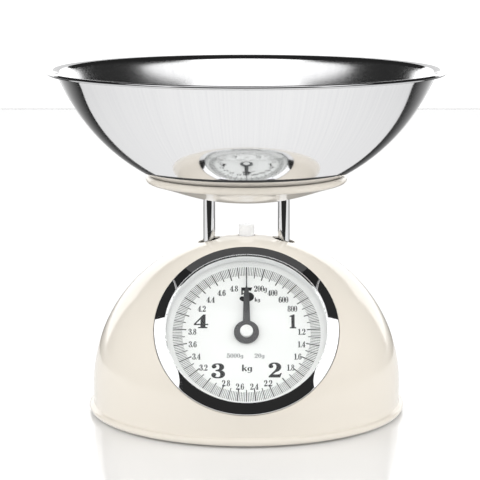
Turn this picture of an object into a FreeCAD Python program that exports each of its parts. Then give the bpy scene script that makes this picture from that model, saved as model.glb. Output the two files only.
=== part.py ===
import FreeCAD, Part

import math
import os

from FreeCAD import Placement, Rotation, Vector

# Mechanical kitchen scale: a domed housing with a sloping dial, two posts and a steel bowl.
#
# Row frame: +Z up, the dial faces -Y, the origin is under the middle of the object, on the
# surface that its feet stand on. All lengths are in millimetres.
#
# A second frame, the dial frame, is used for all that lies along the pointer's axis. Its origin
# is on the vertical axis, its +Z runs out through the middle of the dial, its +Y runs up the
# dial towards the zero mark and its +X is the row's +X.

# ---------------------------------------------------------------- driving dimensions
# housing
wall_radius = 101.5            # outside of the straight skirt
side_arc_radius = 97.5         # outside of the dome, lower arc
crown_arc_radius = 107.0       # outside of the dome, upper arc
side_arc_z = 18.0              # height of the lower arc's centre
housing_thickness = 2.2
bead_radius = 2.2              # half-round bead around the foot of the housing
bead_reach = 104.3             # outermost radius of the bead
bead_bottom_z = 1.2

# dial
dial_tilt = 37.4               # elevation of the dial's normal, in degrees
dial_origin_z = 16.5
dial_face = 77.5               # along the dial axis
dial_radius = 52.4
bezel_radius = 58.4
bezel_seat = 81.2              # flat seat in the housing
window_radius = 50.5           # opening in the front of the bezel

# base
plate_radius = 98.8
plate_bottom_z = 1.6
plate_top_z = 4.4
foot_spread = 58.0             # feet stand at +-this in X and Y
foot_radius = 8.0
boss_ring = 87.5               # radius of the circle of housing bosses
boss_angles = (32.0, 148.0, 212.0, 328.0)

# platform
post_spacing = 49.0
post_radius = 3.9
post_bottom_z = 89.5
tray_floor_z = 141.0
tray_seat_z = 144.5
tray_rim_radius = 66.0

# bowl
bowl_arc_centre_r = 3.5        # the wall is one arc, whose centre lies a little off the axis
bowl_arc_centre_z = 270.0
bowl_arc_radius = 128.0
bowl_thickness = 0.7
bowl_wall_top_z = 217.0
bowl_rim_radius = 130.0
bowl_top_z = 225.8

# movement
travel = 14.25                 # platform drop at full load, one turn of the pointer
link_length = 50.0
lower_pivot_z = 34.0
upper_pivot_z = 74.0
pinion_teeth = 12
gear_module = 0.3
pressure_angle = math.radians(20)
rack_addendum = 0.65 * gear_module
pinion_addendum = 1.0 * gear_module
root_gap = 0.2 * gear_module
backlash = 0.06
sheet = 1.5                    # thickness of the steel pressings
fit_gap = 0.05                 # radial clearance of pins and screws in their holes

# springs
spring_x = 12.0
wire_radius = 0.6
coil_radius = 3.9
spring_turns = 15
hanger_hook_z = 78.5
anchor_hook_z = 47.5

half_spacing = post_spacing / 2
dial_frame = Placement(Vector(0, 0, dial_origin_z), Rotation(Vector(1, 0, 0), 90 - dial_tilt))
pitch_radius = gear_module * pinion_teeth / 2
link_rise = travel / 2         # how far the links' front ends stand above their pivots at rest
link_angle = math.degrees(math.asin(link_rise / link_length))
link_hook_y = link_length * (1 - math.cos(math.radians(link_angle)))


# ---------------------------------------------------------------- shape helpers
def box(x_low, x_high, y_low, y_high, z_low, z_high):
    """A block between two corners."""
    corner = Vector(x_low, y_low, z_low)
    return Part.makeBox(x_high - x_low, y_high - y_low, z_high - z_low, corner)


def rod(radius, start, end):
    """A cylinder between two points."""
    start, end = Vector(*start), Vector(*end)
    return Part.makeCylinder(radius, (end - start).Length, start, end - start)


def column(radius, x, y, z_low, z_high):
    """An upright cylinder."""
    return rod(radius, (x, y, z_low), (x, y, z_high))


def tube(outer, inner, x, y, z_low, z_high):
    """An upright tube."""
    return column(outer, x, y, z_low, z_high).cut(column(inner, x, y, z_low - 1, z_high + 1))


def outline(steps):
    """A closed wire in the XZ plane. A step is a corner (x, z) or an arc ((x, z) on it, its end)."""
    here = Vector(steps[0][0], 0, steps[0][1])
    first = here
    edges = []
    for step in steps[1:]:
        if isinstance(step[0], tuple):
            middle, end = (Vector(x, 0, z) for x, z in step)
            edges.append(Part.Arc(here, middle, end).toShape())
        else:
            end = Vector(step[0], 0, step[1])
            edges.append(Part.LineSegment(here, end).toShape())
        here = end
    if (here - first).Length > 1e-6:
        edges.append(Part.LineSegment(here, first).toShape())
    return Part.Wire(edges)


def turned(steps):
    """A solid of revolution about Z from an outline whose X is the radius."""
    return Part.Face(outline(steps)).revolve(Vector(0, 0, 0), Vector(0, 0, 1), 360)


def side_plate(points, x_low, x_high):
    """A flat plate across X, cut to a polygon of (y, z) points."""
    corners = [Vector(x_low, y, z) for y, z in points]
    face = Part.Face(Part.makePolygon(corners + corners[:1]))
    return face.extrude(Vector(x_high - x_low, 0, 0))


def on_arc(centre, radius, degrees):
    """The point of an arc at that angle from the horizontal."""
    turn = math.radians(degrees)
    return (centre[0] + radius * math.cos(turn), centre[1] + radius * math.sin(turn))


def fused(shapes):
    """One solid from several that touch or overlap."""
    return shapes[0].multiFuse(shapes[1:]).removeSplitter()


def on_dial(shape):
    """Moves a shape built in the dial frame to its place in the row frame."""
    placed = shape.copy()
    placed.Placement = dial_frame.multiply(placed.Placement)
    return placed


def pan_screw(head_radius, head_height, shank_radius, length):
    """A cross-headed screw along +Z: the head lies below Z = 0 and the shank above it."""
    head = turned([
        (0, -head_height),
        (head_radius * 0.7, -head_height),
        ((head_radius * 0.93, -head_height * 0.7), (head_radius, 0)),
        (0, 0),
    ])
    shank = column(shank_radius, 0, 0, -0.1, length)
    slot = head_radius * 0.62
    blade = head_radius * 0.14
    depth = head_height * 0.55
    cross = box(-slot, slot, -blade, blade, -head_height - 1, depth - head_height)
    cross = cross.fuse(box(-blade, blade, -slot, slot, -head_height - 1, depth - head_height))
    return head.fuse(shank).removeSplitter().cut(cross)


def placed_at(shape, x, y, z, flipped=False):
    """A copy of a shape at a point, turned upside down if flipped."""
    turn = Rotation(Vector(1, 0, 0), 180 if flipped else 0)
    moved = shape.copy()
    moved.Placement = Placement(Vector(x, y, z), turn)
    return moved


def split_ring(outer, inner, thickness, x_low):
    """A snap ring across the X axis, open towards -Z."""
    ring = rod(outer, (x_low, 0, 0), (x_low + thickness, 0, 0))
    ring = ring.cut(rod(inner, (x_low - 1, 0, 0), (x_low + thickness + 1, 0, 0)))
    mouth = inner * 0.7
    return ring.cut(box(x_low - 1, x_low + thickness + 1, -mouth, mouth, -outer - 1, 0))


# ---------------------------------------------------------------- housing
def dome_arcs(offset):
    """The dome's two arcs, moved inwards by offset: centres, radii and the angle where they meet."""
    side_r = wall_radius - side_arc_radius
    drop = math.sqrt((crown_arc_radius - side_arc_radius) ** 2 - side_r ** 2)
    side_centre = (side_r, side_arc_z)
    crown_centre = (0.0, side_arc_z - drop)
    meet = math.degrees(math.atan2(drop, side_r))
    return side_centre, side_arc_radius - offset, crown_centre, crown_arc_radius - offset, meet


def dome_solid(offset, bottom_z):
    """The dome as a full solid, moved inwards by offset, down to bottom_z."""
    side_centre, side_radius, crown_centre, crown_radius, meet = dome_arcs(offset)
    return turned([
        (0, bottom_z),
        (wall_radius - offset, bottom_z),
        (wall_radius - offset, side_arc_z),
        (on_arc(side_centre, side_radius, meet / 2), on_arc(side_centre, side_radius, meet)),
        (on_arc(crown_centre, crown_radius, (meet + 90) / 2), (0, crown_centre[1] + crown_radius)),
    ])


def boss_places():
    """Where the housing's screw bosses stand."""
    return [on_arc((0, 0), boss_ring, angle) for angle in boss_angles]


post_hole_radius = 7.5
knob_hole_radius = 5.9
collar_inner_radius = 52.3
collar_outer_radius = 61.0
collar_back = 78.0
seat_radius = bezel_radius + 0.3
boss_radius = 3.6
base_screw_radius = 1.5
bezel_screw_ring = 55.4
bezel_screw_radius = 1.1
bezel_screw_angles = (90.0, 210.0, 330.0)


def make_dome_housing():
    bead_centre_r = bead_reach - bead_radius
    bead_top_z = bead_bottom_z + 2 * bead_radius
    bead = turned([
        (wall_radius - housing_thickness, bead_bottom_z),
        (bead_centre_r, bead_bottom_z),
        ((bead_reach, bead_bottom_z + bead_radius), (bead_centre_r, bead_top_z)),
        (wall_radius - housing_thickness, bead_top_z),
    ])
    outer = dome_solid(0, bead_bottom_z)
    inner = dome_solid(housing_thickness, bead_bottom_z - 1)
    shell = outer.fuse(bead).removeSplitter().cut(inner)
    collar = on_dial(column(collar_outer_radius, 0, 0, collar_back, dial_face + 20)).common(outer)
    bosses = []
    for x, y in boss_places():
        bosses.append(column(boss_radius, x, y, plate_top_z, side_arc_z + 60).common(outer))
    shell = fused([shell, collar] + bosses)
    shell = shell.cut(on_dial(column(collar_inner_radius, 0, 0, collar_back - 1, dial_face + 30)))
    shell = shell.cut(on_dial(column(seat_radius, 0, 0, bezel_seat, dial_face + 30)))
    for angle in bezel_screw_angles:
        x, y = on_arc((0, 0), bezel_screw_ring, angle)
        shell = shell.cut(on_dial(column(bezel_screw_radius + fit_gap, x, y, 70, 90)))
    for x, y in boss_places():
        shell = shell.cut(column(base_screw_radius + fit_gap, x, y, 0, plate_top_z + 14))
    for side in (-1, 1):
        shell = shell.cut(column(post_hole_radius, side * half_spacing, 0, 90, 130))
    return shell.cut(column(knob_hole_radius, 0, 0, 90, 130))


# ---------------------------------------------------------------- base
counterbore_depth = 1.5
base_head_radius = 3.0
base_head_height = 1.3
frame_screw_radius = 1.5
frame_screw_places = ((-19, 27), (19, 27), (-19, 44), (19, 44))
stand_screw_places = ((-17, -55), (17, -55))
foot_stem_radius = 3.0


def foot_places():
    """Where the feet stand, by name."""
    return {
        "foot_front_left": (-foot_spread, -foot_spread),
        "foot_front_right": (foot_spread, -foot_spread),
        "foot_rear_left": (-foot_spread, foot_spread),
        "foot_rear_right": (foot_spread, foot_spread),
    }


def make_base_plate():
    rim_height = 5.0
    rib = 1.6
    plate = column(plate_radius, 0, 0, plate_bottom_z, plate_top_z)
    rim = tube(plate_radius, plate_radius - rib, 0, 0, plate_top_z - 0.5, plate_top_z + rim_height)
    ribs = []
    for angle in range(0, 360, 60):
        web = box(72.5, plate_radius - 0.5, -rib / 2, rib / 2, plate_top_z - 0.5, plate_top_z + 3)
        web.rotate(Vector(0, 0, 0), Vector(0, 0, 1), angle)
        ribs.append(web)
    plate = fused([plate, rim, tube(73.5, 72, 0, 0, plate_top_z - 0.5, plate_top_z + 3)] + ribs)
    for x, y in boss_places():
        plate = plate.cut(column(base_screw_radius + fit_gap, x, y, 0, 20))
        plate = plate.cut(column(base_head_radius + 0.3, x, y, 0, plate_bottom_z + counterbore_depth))
        plate = plate.cut(column(boss_radius + 0.3, x, y, plate_top_z, 20))
    for x, y in foot_places().values():
        plate = plate.cut(column(foot_stem_radius + fit_gap, x, y, 0, 20))
        plate = plate.cut(column(foot_radius + 0.2, x, y, 0, plate_bottom_z + 0.6))
        plate = plate.cut(column(foot_radius, x, y, plate_top_z, 20))
    for x, y in frame_screw_places + stand_screw_places:
        plate = plate.cut(column(frame_screw_radius + fit_gap, x, y, 0, 20))
        plate = plate.cut(column(base_head_radius + 0.3, x, y, 0, plate_bottom_z + counterbore_depth))
    return plate


def make_foot(x, y):
    barb = 0.5
    pad_top = plate_bottom_z + 0.6
    foot = turned([
        (0, 0),
        (foot_radius - 1.2, 0),
        ((foot_radius - 0.3, 0.4), (foot_radius, 1.2)),
        (foot_radius, pad_top),
        (foot_stem_radius, pad_top),
        (foot_stem_radius, plate_top_z + 0.05),
        (foot_stem_radius + barb, plate_top_z + 0.05),
        (foot_stem_radius - 0.8, plate_top_z + 2.2),
        (0, plate_top_z + 2.2),
    ])
    return placed_at(foot, x, y, 0)


def make_base_screws():
    screw = pan_screw(base_head_radius, base_head_height, base_screw_radius, 12)
    seat = plate_bottom_z + counterbore_depth
    return Part.makeCompound([placed_at(screw, x, y, seat) for x, y in boss_places()])


def make_chassis_screws(places):
    """Machine screws up through the base plate, each with a hexagon nut on top of the pressing."""
    seat = plate_bottom_z + counterbore_depth
    top = plate_top_z + sheet
    screws = []
    for x, y in places:
        screw = pan_screw(base_head_radius, base_head_height, frame_screw_radius, 6)
        screws.append(placed_at(screw, x, y, seat))
        hexagon = Part.makePolygon([
            Vector(*on_arc((0, 0), 3.1, angle), 0) for angle in range(0, 361, 60)
        ])
        nut = Part.Face(hexagon).extrude(Vector(0, 0, 2.2))
        nut = nut.cut(column(frame_screw_radius + fit_gap, 0, 0, -1, 4))
        screws.append(placed_at(nut, x, y, top))
    return Part.makeCompound(screws)


# ---------------------------------------------------------------- dial group
bezel_top = 86.8
lens_ledge = 84.9
lens_thickness = 1.5
lens_crown = 3.0
carrier_thickness = 2.0
plate_thickness = 0.8
shaft_radius = 1.0
bush_radius = 2.6
pointer_back = 78.7
pointer_thickness = 1.1
carrier_back = dial_face - plate_thickness - carrier_thickness
bracket_rear = 45.5
bracket_half_width = 12.5
bracket_flange_reach = 19.0
bracket_half_height = 8.0
stand_half_width = 24.0


def make_bezel():
    sleeve_outer = collar_inner_radius - 0.25
    edge_height = 1.6
    profile = turned([
        (window_radius - 0.8, collar_back + 0.1),
        (sleeve_outer, collar_back + 0.1),
        (sleeve_outer, bezel_seat),
        (bezel_radius - 0.3, bezel_seat),
        (bezel_radius, bezel_seat + 0.3),
        (bezel_radius, bezel_seat + edge_height),
        ((bezel_radius - 2.6, bezel_top - 1.9), (window_radius + 1.2, bezel_top)),
        ((window_radius + 0.5, bezel_top), (window_radius, bezel_top - 0.5)),
        (window_radius, lens_ledge),
        (window_radius - 0.8, lens_ledge),
    ])
    for angle in bezel_screw_angles:
        x, y = on_arc((0, 0), bezel_screw_ring, angle)
        profile = profile.cut(column(bezel_screw_radius + fit_gap, x, y, 70, bezel_seat + 3.1))
    return on_dial(profile)


def make_bezel_screws():
    screw = pan_screw(2.0, 1.0, bezel_screw_radius, 6.0)
    places = [on_arc((0, 0), bezel_screw_ring, angle) for angle in bezel_screw_angles]
    return Part.makeCompound([on_dial(placed_at(screw, x, y, collar_back)) for x, y in places])


def crown_middle(rim_radius, rim_z, rise):
    """A point half way out along a domed cap, whose arc is centred on the axis."""
    cap_radius = (rim_radius ** 2 + rise ** 2) / (2 * rise)
    half = rim_radius / 2
    return (half, rim_z + rise - cap_radius + math.sqrt(cap_radius ** 2 - half ** 2))


def make_lens():
    radius = window_radius - 0.1
    edge_top = lens_ledge + lens_thickness
    outer_rim = radius - 0.3
    inner_rim = radius - 2.5
    return on_dial(turned([
        (radius, lens_ledge),
        (radius, edge_top - 0.3),
        (outer_rim, edge_top),
        (crown_middle(outer_rim, edge_top, lens_crown), (0, edge_top + lens_crown)),
        (0, lens_ledge + lens_crown),
        (crown_middle(inner_rim, lens_ledge, lens_crown), (inner_rim, lens_ledge)),
    ]))


def make_dial_plate():
    plate = column(dial_radius, 0, 0, dial_face - plate_thickness, dial_face)
    return on_dial(plate.cut(column(bush_radius + 0.3, 0, 0, 70, 90)))


def carrier_screw_places():
    """Screws that hold the bracket and the stand to the back of the dial carrier."""
    bracket = [(side * 16.0, u) for side in (-1, 1) for u in (-4.5, 4.5)]
    stand = [(side * 16.0, -20.0) for side in (-1, 1)]
    return bracket + stand


def make_dial_carrier():
    back = carrier_back
    disc = column(dial_radius, 0, 0, back, back + carrier_thickness)
    hoop = tube(dial_radius, dial_radius - 1.6, 0, 0, back - 3, back + 0.5)
    inner_hoop = tube(41.6, 40, 0, 0, back - 2.5, back + 0.5)
    carrier = fused([disc, hoop, inner_hoop])
    carrier = carrier.cut(column(bush_radius + fit_gap, 0, 0, 60, 90))
    for x, u in carrier_screw_places():
        carrier = carrier.cut(column(1.1 + fit_gap, x, u, 60, back + carrier_thickness))
    return on_dial(carrier)


def make_carrier_screws():
    screw = pan_screw(2.1, 1.1, 1.1, sheet + carrier_thickness - 0.2)
    seat = carrier_back - sheet
    return Part.makeCompound([on_dial(placed_at(screw, x, u, seat)) for x, u in carrier_screw_places()])


def make_movement_bracket():
    front = carrier_back
    inner = bracket_half_width - sheet
    low, high = -bracket_half_height, bracket_half_height
    rear_top = 5.0
    rear = box(-bracket_half_width, bracket_half_width, low, rear_top, bracket_rear, bracket_rear + sheet)
    pieces = [rear]
    for side in (-1, 1):
        near, far = sorted((side * inner, side * bracket_half_width))
        pieces.append(box(near, far, low, rear_top, bracket_rear, bracket_rear + 8))
        pieces.append(box(near, far, low, high, bracket_rear + 7, front))
        near, far = sorted((side * inner, side * bracket_flange_reach))
        pieces.append(box(near, far, low, high, front - sheet, front))
    bracket = fused(pieces)
    bracket = bracket.cut(column(bush_radius + fit_gap, 0, 0, bracket_rear - 1, bracket_rear + 3))
    for x, u in carrier_screw_places():
        bracket = bracket.cut(column(1.1 + fit_gap, x, u, front - 3, front + 1))
    hole_ends = [(x, 0, guide_middle) for x in (inner - 1, bracket_half_width + 1)]
    bracket = bracket.cut(rod(1.5 + fit_gap, *hole_ends))
    return on_dial(bracket)


def make_bush(back, front, flange_back, flange_front):
    """A flanged brass bush on the pointer's axis."""
    bush = column(bush_radius, 0, 0, back, front).fuse(column(4.0, 0, 0, flange_back, flange_front))
    return on_dial(bush.removeSplitter().cut(column(shaft_radius + 0.04, 0, 0, back - 1, front + 1)))


rack_front = 63.5
rack_thickness = 1.5
rack_back = rack_front - rack_thickness
rack_width_end = 7.0
rack_shift_back = travel * math.sin(math.radians(dial_tilt))
guide_middle = rack_back - rack_shift_back / 2
guide_half_length = 7.0


def make_rack_guide():
    """A nylon block that keeps the rack in mesh, held by a peg through the bracket's side."""
    near = rack_width_end + 0.08
    far = bracket_half_width - sheet
    block = box(near, far, -2.8, 2.8, guide_middle - guide_half_length, guide_middle + guide_half_length)
    peg = rod(1.5, (far - 0.5, 0, guide_middle), (bracket_half_width + 0.8, 0, guide_middle))
    return on_dial(block.fuse(peg).removeSplitter())


def make_dial_stand():
    """A bent steel leg between the base plate and the back of the dial carrier."""
    foot = box(-stand_half_width, stand_half_width, -66, -48, plate_top_z, plate_top_z + sheet)
    riser = box(-stand_half_width, stand_half_width, -66, -66 + sheet, plate_top_z, 51)
    tab = on_dial(box(-stand_half_width, stand_half_width, -27, -12, carrier_back - sheet, carrier_back))
    stand = fused([foot, riser, tab])
    stand = stand.cut(box(-10, 10, -70, -60, plate_top_z + 8, 42))
    for x, y in stand_screw_places:
        stand = stand.cut(column(frame_screw_radius + fit_gap, x, y, 0, 20))
    for x, u in carrier_screw_places()[4:]:
        stand = stand.cut(on_dial(column(1.1 + fit_gap, x, u, 60, carrier_back + 1)))
    return stand


# ---------------------------------------------------------------- pointer group
def tooth_flank(base_radius, half_angle_at_base, outer_radius, side):
    """Points up one involute flank, from the base circle to the tooth's tip."""
    points = []
    steps = 6
    top = math.sqrt((outer_radius / base_radius) ** 2 - 1)
    for k in range(steps + 1):
        roll = top * k / steps
        radius = base_radius * math.sqrt(1 + roll ** 2)
        angle = half_angle_at_base - (roll - math.atan(roll))
        points.append((radius, side * angle))
    return points


def pinion_section():
    """The pinion's cross-section, with one tooth centred on +X."""
    base_radius = pitch_radius * math.cos(pressure_angle)
    outer_radius = pitch_radius + pinion_addendum
    root_radius = pitch_radius - rack_addendum - root_gap
    involute = math.tan(pressure_angle) - pressure_angle
    half_angle = math.pi / (2 * pinion_teeth) + involute
    corners = []
    for tooth in range(pinion_teeth):
        middle = 2 * math.pi * tooth / pinion_teeth
        low = tooth_flank(base_radius, half_angle, outer_radius, -1)
        high = tooth_flank(base_radius, half_angle, outer_radius, 1)[::-1]
        flanks = [(root_radius, -half_angle)] + low + high + [(root_radius, half_angle)]
        for radius, angle in flanks:
            turn = middle + angle
            corners.append(Vector(radius * math.cos(turn), radius * math.sin(turn), 0))
    return Part.Face(Part.makePolygon(corners + corners[:1]))


pinion_back = rack_back - rack_shift_back - 1.5
pinion_front = rack_front + 1.5
shaft_back = bracket_rear - 1.5
shaft_front = pointer_back + pointer_thickness + 1.2


def make_pinion_shaft():
    pinion = pinion_section().extrude(Vector(0, 0, pinion_front - pinion_back))
    pinion.translate(Vector(0, 0, pinion_back))
    shaft = column(shaft_radius, 0, 0, shaft_back, shaft_front)
    return on_dial(pinion.fuse(shaft))


pointer_ring_radius = 8.3
pointer_cap_radius = 4.3
pointer_tip = 45.0
pointer_shoulder = 31.0


def make_pointer():
    back, front = pointer_back, pointer_back + pointer_thickness
    arm = Part.Face(Part.makePolygon([
        Vector(-2.8, 5, 0),
        Vector(-1.95, pointer_shoulder - 3, 0),
        Vector(-0.35, pointer_shoulder + 3, 0),
        Vector(-0.25, pointer_tip, 0),
        Vector(0.25, pointer_tip, 0),
        Vector(0.35, pointer_shoulder + 3, 0),
        Vector(1.95, pointer_shoulder - 3, 0),
        Vector(2.8, 5, 0),
        Vector(-2.8, 5, 0),
    ])).extrude(Vector(0, 0, front - back))
    arm.translate(Vector(0, 0, back))
    hub = column(pointer_ring_radius, 0, 0, back, front)
    pointer = fused([hub, arm])
    return on_dial(pointer.cut(column(shaft_radius, 0, 0, back - 1, front + 1)))


def make_pointer_cap():
    front = pointer_back + pointer_thickness
    height = 2.2
    cap = turned([
        (0, front),
        (pointer_cap_radius, front),
        (pointer_cap_radius, front + height - 0.6),
        ((pointer_cap_radius - 0.18, front + height - 0.18), (pointer_cap_radius - 0.6, front + height)),
        (0, front + height),
    ])
    return on_dial(cap.cut(column(shaft_radius, 0, 0, front - 1, shaft_front)))


# ---------------------------------------------------------------- frame and links
pivot_y = link_length * math.cos(math.radians(link_angle))
frame_back_y = pivot_y + 5.5
frame_half_width = 26.0
arm_half_width = 12.0
arm_z = 92.5
pivot_radius = 1.5
link_inner = 27.5
link_height = 7.0
screw_bush_radius = 4.0
zero_screw_radius = 2.0


def make_frame():
    """A pressed steel gallows: foot, back, two cheeks for the pivot rods and a top arm."""
    low = plate_top_z
    cheek_top = 84.0
    back = frame_back_y
    pieces = [
        box(-frame_half_width, frame_half_width, 20, back + sheet, low, low + sheet),
        box(-frame_half_width, frame_half_width, back, back + sheet, low, cheek_top),
        box(-arm_half_width, arm_half_width, back, back + sheet, cheek_top - 1, arm_z + sheet),
        box(-arm_half_width, arm_half_width, -9, back + sheet, arm_z, arm_z + sheet),
    ]
    for side in (-1, 1):
        near, far = sorted((side * (frame_half_width - sheet), side * frame_half_width))
        pieces.append(box(near, far, pivot_y - 8, back + 1, low, cheek_top))
        near, far = sorted((side * (arm_half_width - sheet), side * arm_half_width))
        pieces.append(box(near, far, -9, back + 1, arm_z - 4, arm_z + 1))
    frame = fused(pieces)
    frame = frame.cut(column(screw_bush_radius - 1 + fit_gap, 0, 0, arm_z - 2, arm_z + 4))
    frame = frame.cut(box(-16, 16, back - 1, back + 3, 16, 68))
    for z in (lower_pivot_z, upper_pivot_z):
        frame = frame.cut(rod(pivot_radius + fit_gap, (-40, pivot_y, z), (40, pivot_y, z)))
    for x, y in frame_screw_places:
        frame = frame.cut(column(frame_screw_radius + fit_gap, x, y, 0, 20))
    return frame


def make_pivot_rod(z):
    reach = link_inner + sheet + 2.0
    return rod(pivot_radius, (-reach, pivot_y, z), (reach, pivot_y, z))


def make_pivot_clips():
    clips = []
    start = link_inner + sheet + 0.4
    for z in (lower_pivot_z, upper_pivot_z):
        for x_low in (start, -start - 0.7):
            clip = split_ring(3.2, pivot_radius, 0.7, x_low)
            clip.translate(Vector(0, pivot_y, z))
            clips.append(clip)
    return Part.makeCompound(clips)


def make_link(pivot_z):
    """A level-keeping link: two arms and a cross web, hooked over the carriage's pins."""
    half = link_height / 2
    slot_play = link_hook_y + 0.3
    arm = [
        (pivot_y + 4, pivot_z - half), (pivot_y + 4, pivot_z + half),
        (pivot_y - link_length - 4, pivot_z + half), (pivot_y - link_length - 4, pivot_z - half),
    ]
    pieces = []
    for side in (-1, 1):
        near, far = sorted((side * link_inner, side * (link_inner + sheet)))
        pieces.append(side_plate(arm, near, far))
    reach = link_inner + sheet
    pieces.append(box(-reach, reach, 14, 26, pivot_z - half, pivot_z - half + sheet))
    link = fused(pieces)
    link = link.cut(rod(pivot_radius + fit_gap, (-40, pivot_y, pivot_z), (40, pivot_y, pivot_z)))
    hook_y = pivot_y - link_length
    hook = pivot_radius + 0.15
    slot = box(-40, 40, hook_y - slot_play, hook_y + slot_play, pivot_z - hook, pivot_z + hook)
    for end in (-slot_play, slot_play):
        slot = slot.fuse(rod(hook, (-40, hook_y + end, pivot_z), (40, hook_y + end, pivot_z)))
    link = link.cut(slot)
    link.rotate(Vector(0, pivot_y, pivot_z), Vector(1, 0, 0), -link_angle)
    return link


# ---------------------------------------------------------------- platform
carriage_inner = 18.5
carriage_half_depth = 8.0
carriage_bottom_z = 32.0
lug_z = post_bottom_z - sheet
post_screw_radius = 1.9
post_screw_length = 9.0
tray_screw_radius = 1.5
tray_screw_length = 9.0
tray_screw_seat_z = tray_seat_z - 1.2
anchor_low_z = 42.0
anchor_high_z = 50.0


def make_carriage():
    """A U-shaped pressing that hangs on the springs and carries the posts on its lugs."""
    outer = carriage_inner + sheet
    depth = carriage_half_depth
    pieces = [box(-outer, outer, -depth, depth, carriage_bottom_z, carriage_bottom_z + sheet)]
    for side in (-1, 1):
        near, far = sorted((side * carriage_inner, side * outer))
        pieces.append(box(near, far, -depth, depth, carriage_bottom_z, lug_z + sheet))
        near, far = sorted((side * carriage_inner, side * (half_spacing + 7)))
        pieces.append(box(near, far, -depth, depth, lug_z, lug_z + sheet))
    carriage = fused(pieces)
    for side in (-1, 1):
        carriage = carriage.cut(column(post_screw_radius + fit_gap, side * half_spacing, 0, 80, 95))
    for z in (lower_pivot_z + link_rise, upper_pivot_z + link_rise):
        carriage = carriage.cut(rod(pivot_radius + fit_gap, (-40, 0, z), (40, 0, z)))
    return carriage


def make_carriage_pins():
    """Shoulder rivets in the carriage's sides that the links hook over."""
    pins = []
    end = link_inner + sheet + 0.4
    for z in (lower_pivot_z + link_rise, upper_pivot_z + link_rise):
        for side in (-1, 1):
            pin = fused([
                rod(pivot_radius, (side * carriage_inner, 0, z), (side * (end + 0.5), 0, z)),
                rod(2.6, (side * (carriage_inner + sheet), 0, z), (side * (link_inner - 0.3), 0, z)),
                rod(2.6, (side * end, 0, z), (side * (end + 0.9), 0, z)),
            ])
            pins.append(pin)
    return Part.makeCompound(pins)


def make_post(side):
    post = column(post_radius, side * half_spacing, 0, post_bottom_z, tray_floor_z + 1.5)
    post = post.makeChamfer(0.3, [edge for edge in post.Edges if edge.Curve.TypeId == "Part::GeomCircle"])
    x = side * half_spacing
    post = post.cut(column(post_screw_radius, x, 0, post_bottom_z - 1, lug_z + post_screw_length + 0.5))
    hole_bottom = tray_screw_seat_z - tray_screw_length - 0.5
    return post.cut(column(tray_screw_radius, x, 0, hole_bottom, tray_seat_z))


def make_post_screws():
    screw = pan_screw(3.0, 1.2, post_screw_radius, post_screw_length)
    return Part.makeCompound([placed_at(screw, side * half_spacing, 0, lug_z) for side in (-1, 1)])


def make_spring_anchor():
    bar = box(-carriage_inner, carriage_inner, -sheet / 2, sheet / 2, anchor_low_z, anchor_high_z)
    for side in (-1, 1):
        x = side * spring_x
        bar = bar.cut(rod(wire_radius * 2, (x, -5, anchor_hook_z), (x, 5, anchor_hook_z)))
    return bar


def make_tray():
    """A shallow dish under the bowl, with sockets for the posts on its underside."""
    gap = 0.3
    seat_arc = bowl_arc_radius + gap
    rim_inner = 61.4
    rim_inner_z = bowl_arc_centre_z - math.sqrt(seat_arc ** 2 - (rim_inner - bowl_arc_centre_r) ** 2)
    floor_edge = bowl_arc_centre_r + math.sqrt(seat_arc ** 2 - (bowl_arc_centre_z - tray_seat_z) ** 2)
    middle_r = (rim_inner + floor_edge) / 2
    middle_z = bowl_arc_centre_z - math.sqrt(seat_arc ** 2 - (middle_r - bowl_arc_centre_r) ** 2)
    tray = turned([
        (0, tray_floor_z),
        (26, tray_floor_z),
        ((46, 146.2), (62.5, 151.4)),
        ((65.0, 152.2), (tray_rim_radius, 153.6)),
        ((65.4, 155.1), (rim_inner + 1.2, rim_inner_z + 0.3)),
        (rim_inner, rim_inner_z),
        ((middle_r, middle_z), (floor_edge, tray_seat_z)),
        (0, tray_seat_z),
    ])
    for side in (-1, 1):
        x = side * half_spacing
        tray = tray.cut(column(post_radius + fit_gap, x, 0, tray_floor_z - 5, tray_floor_z + 1.5))
        tray = tray.cut(column(tray_screw_radius + fit_gap, x, 0, tray_floor_z, tray_seat_z + 1))
        tray = tray.cut(column(3.1, x, 0, tray_screw_seat_z, tray_seat_z + 1))
    return tray


def make_bowl():
    """A spun steel bowl with a flat base, a turned-out rim and a rolled edge."""
    def wall(offset):
        centre = (bowl_arc_centre_r, bowl_arc_centre_z)
        radius = bowl_arc_radius - offset
        low = tray_seat_z + offset
        low_r = centre[0] + math.sqrt(radius ** 2 - (centre[1] - low) ** 2)
        high_r = centre[0] + math.sqrt(radius ** 2 - (centre[1] - bowl_wall_top_z) ** 2)
        mid_z = (low + bowl_wall_top_z) / 2
        mid_r = centre[0] + math.sqrt(radius ** 2 - (centre[1] - mid_z) ** 2)
        return (low_r, low), (mid_r, mid_z), (high_r, bowl_wall_top_z)
    outer_low, outer_mid, outer_top = wall(0)
    inner_low, inner_mid, inner_top = wall(bowl_thickness)
    edge = 0.95
    top = bowl_top_z
    under = top - bowl_thickness
    return turned([
        (0, tray_seat_z),
        outer_low,
        (outer_mid, outer_top),
        ((outer_top[0] + 1.6, top - 2.6), (outer_top[0] + 4.6, under - 0.3)),
        (bowl_rim_radius - 2.0, under),
        (bowl_rim_radius - 2.0, top - 2 * edge),
        ((bowl_rim_radius, top - edge), (bowl_rim_radius - 1.4, top)),
        (inner_top[0] + 5.0, top - 0.3),
        ((inner_top[0] + 1.7, top - 2.2), inner_top),
        (inner_mid, inner_low),
        (0, inner_low[1]),
    ])


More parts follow.
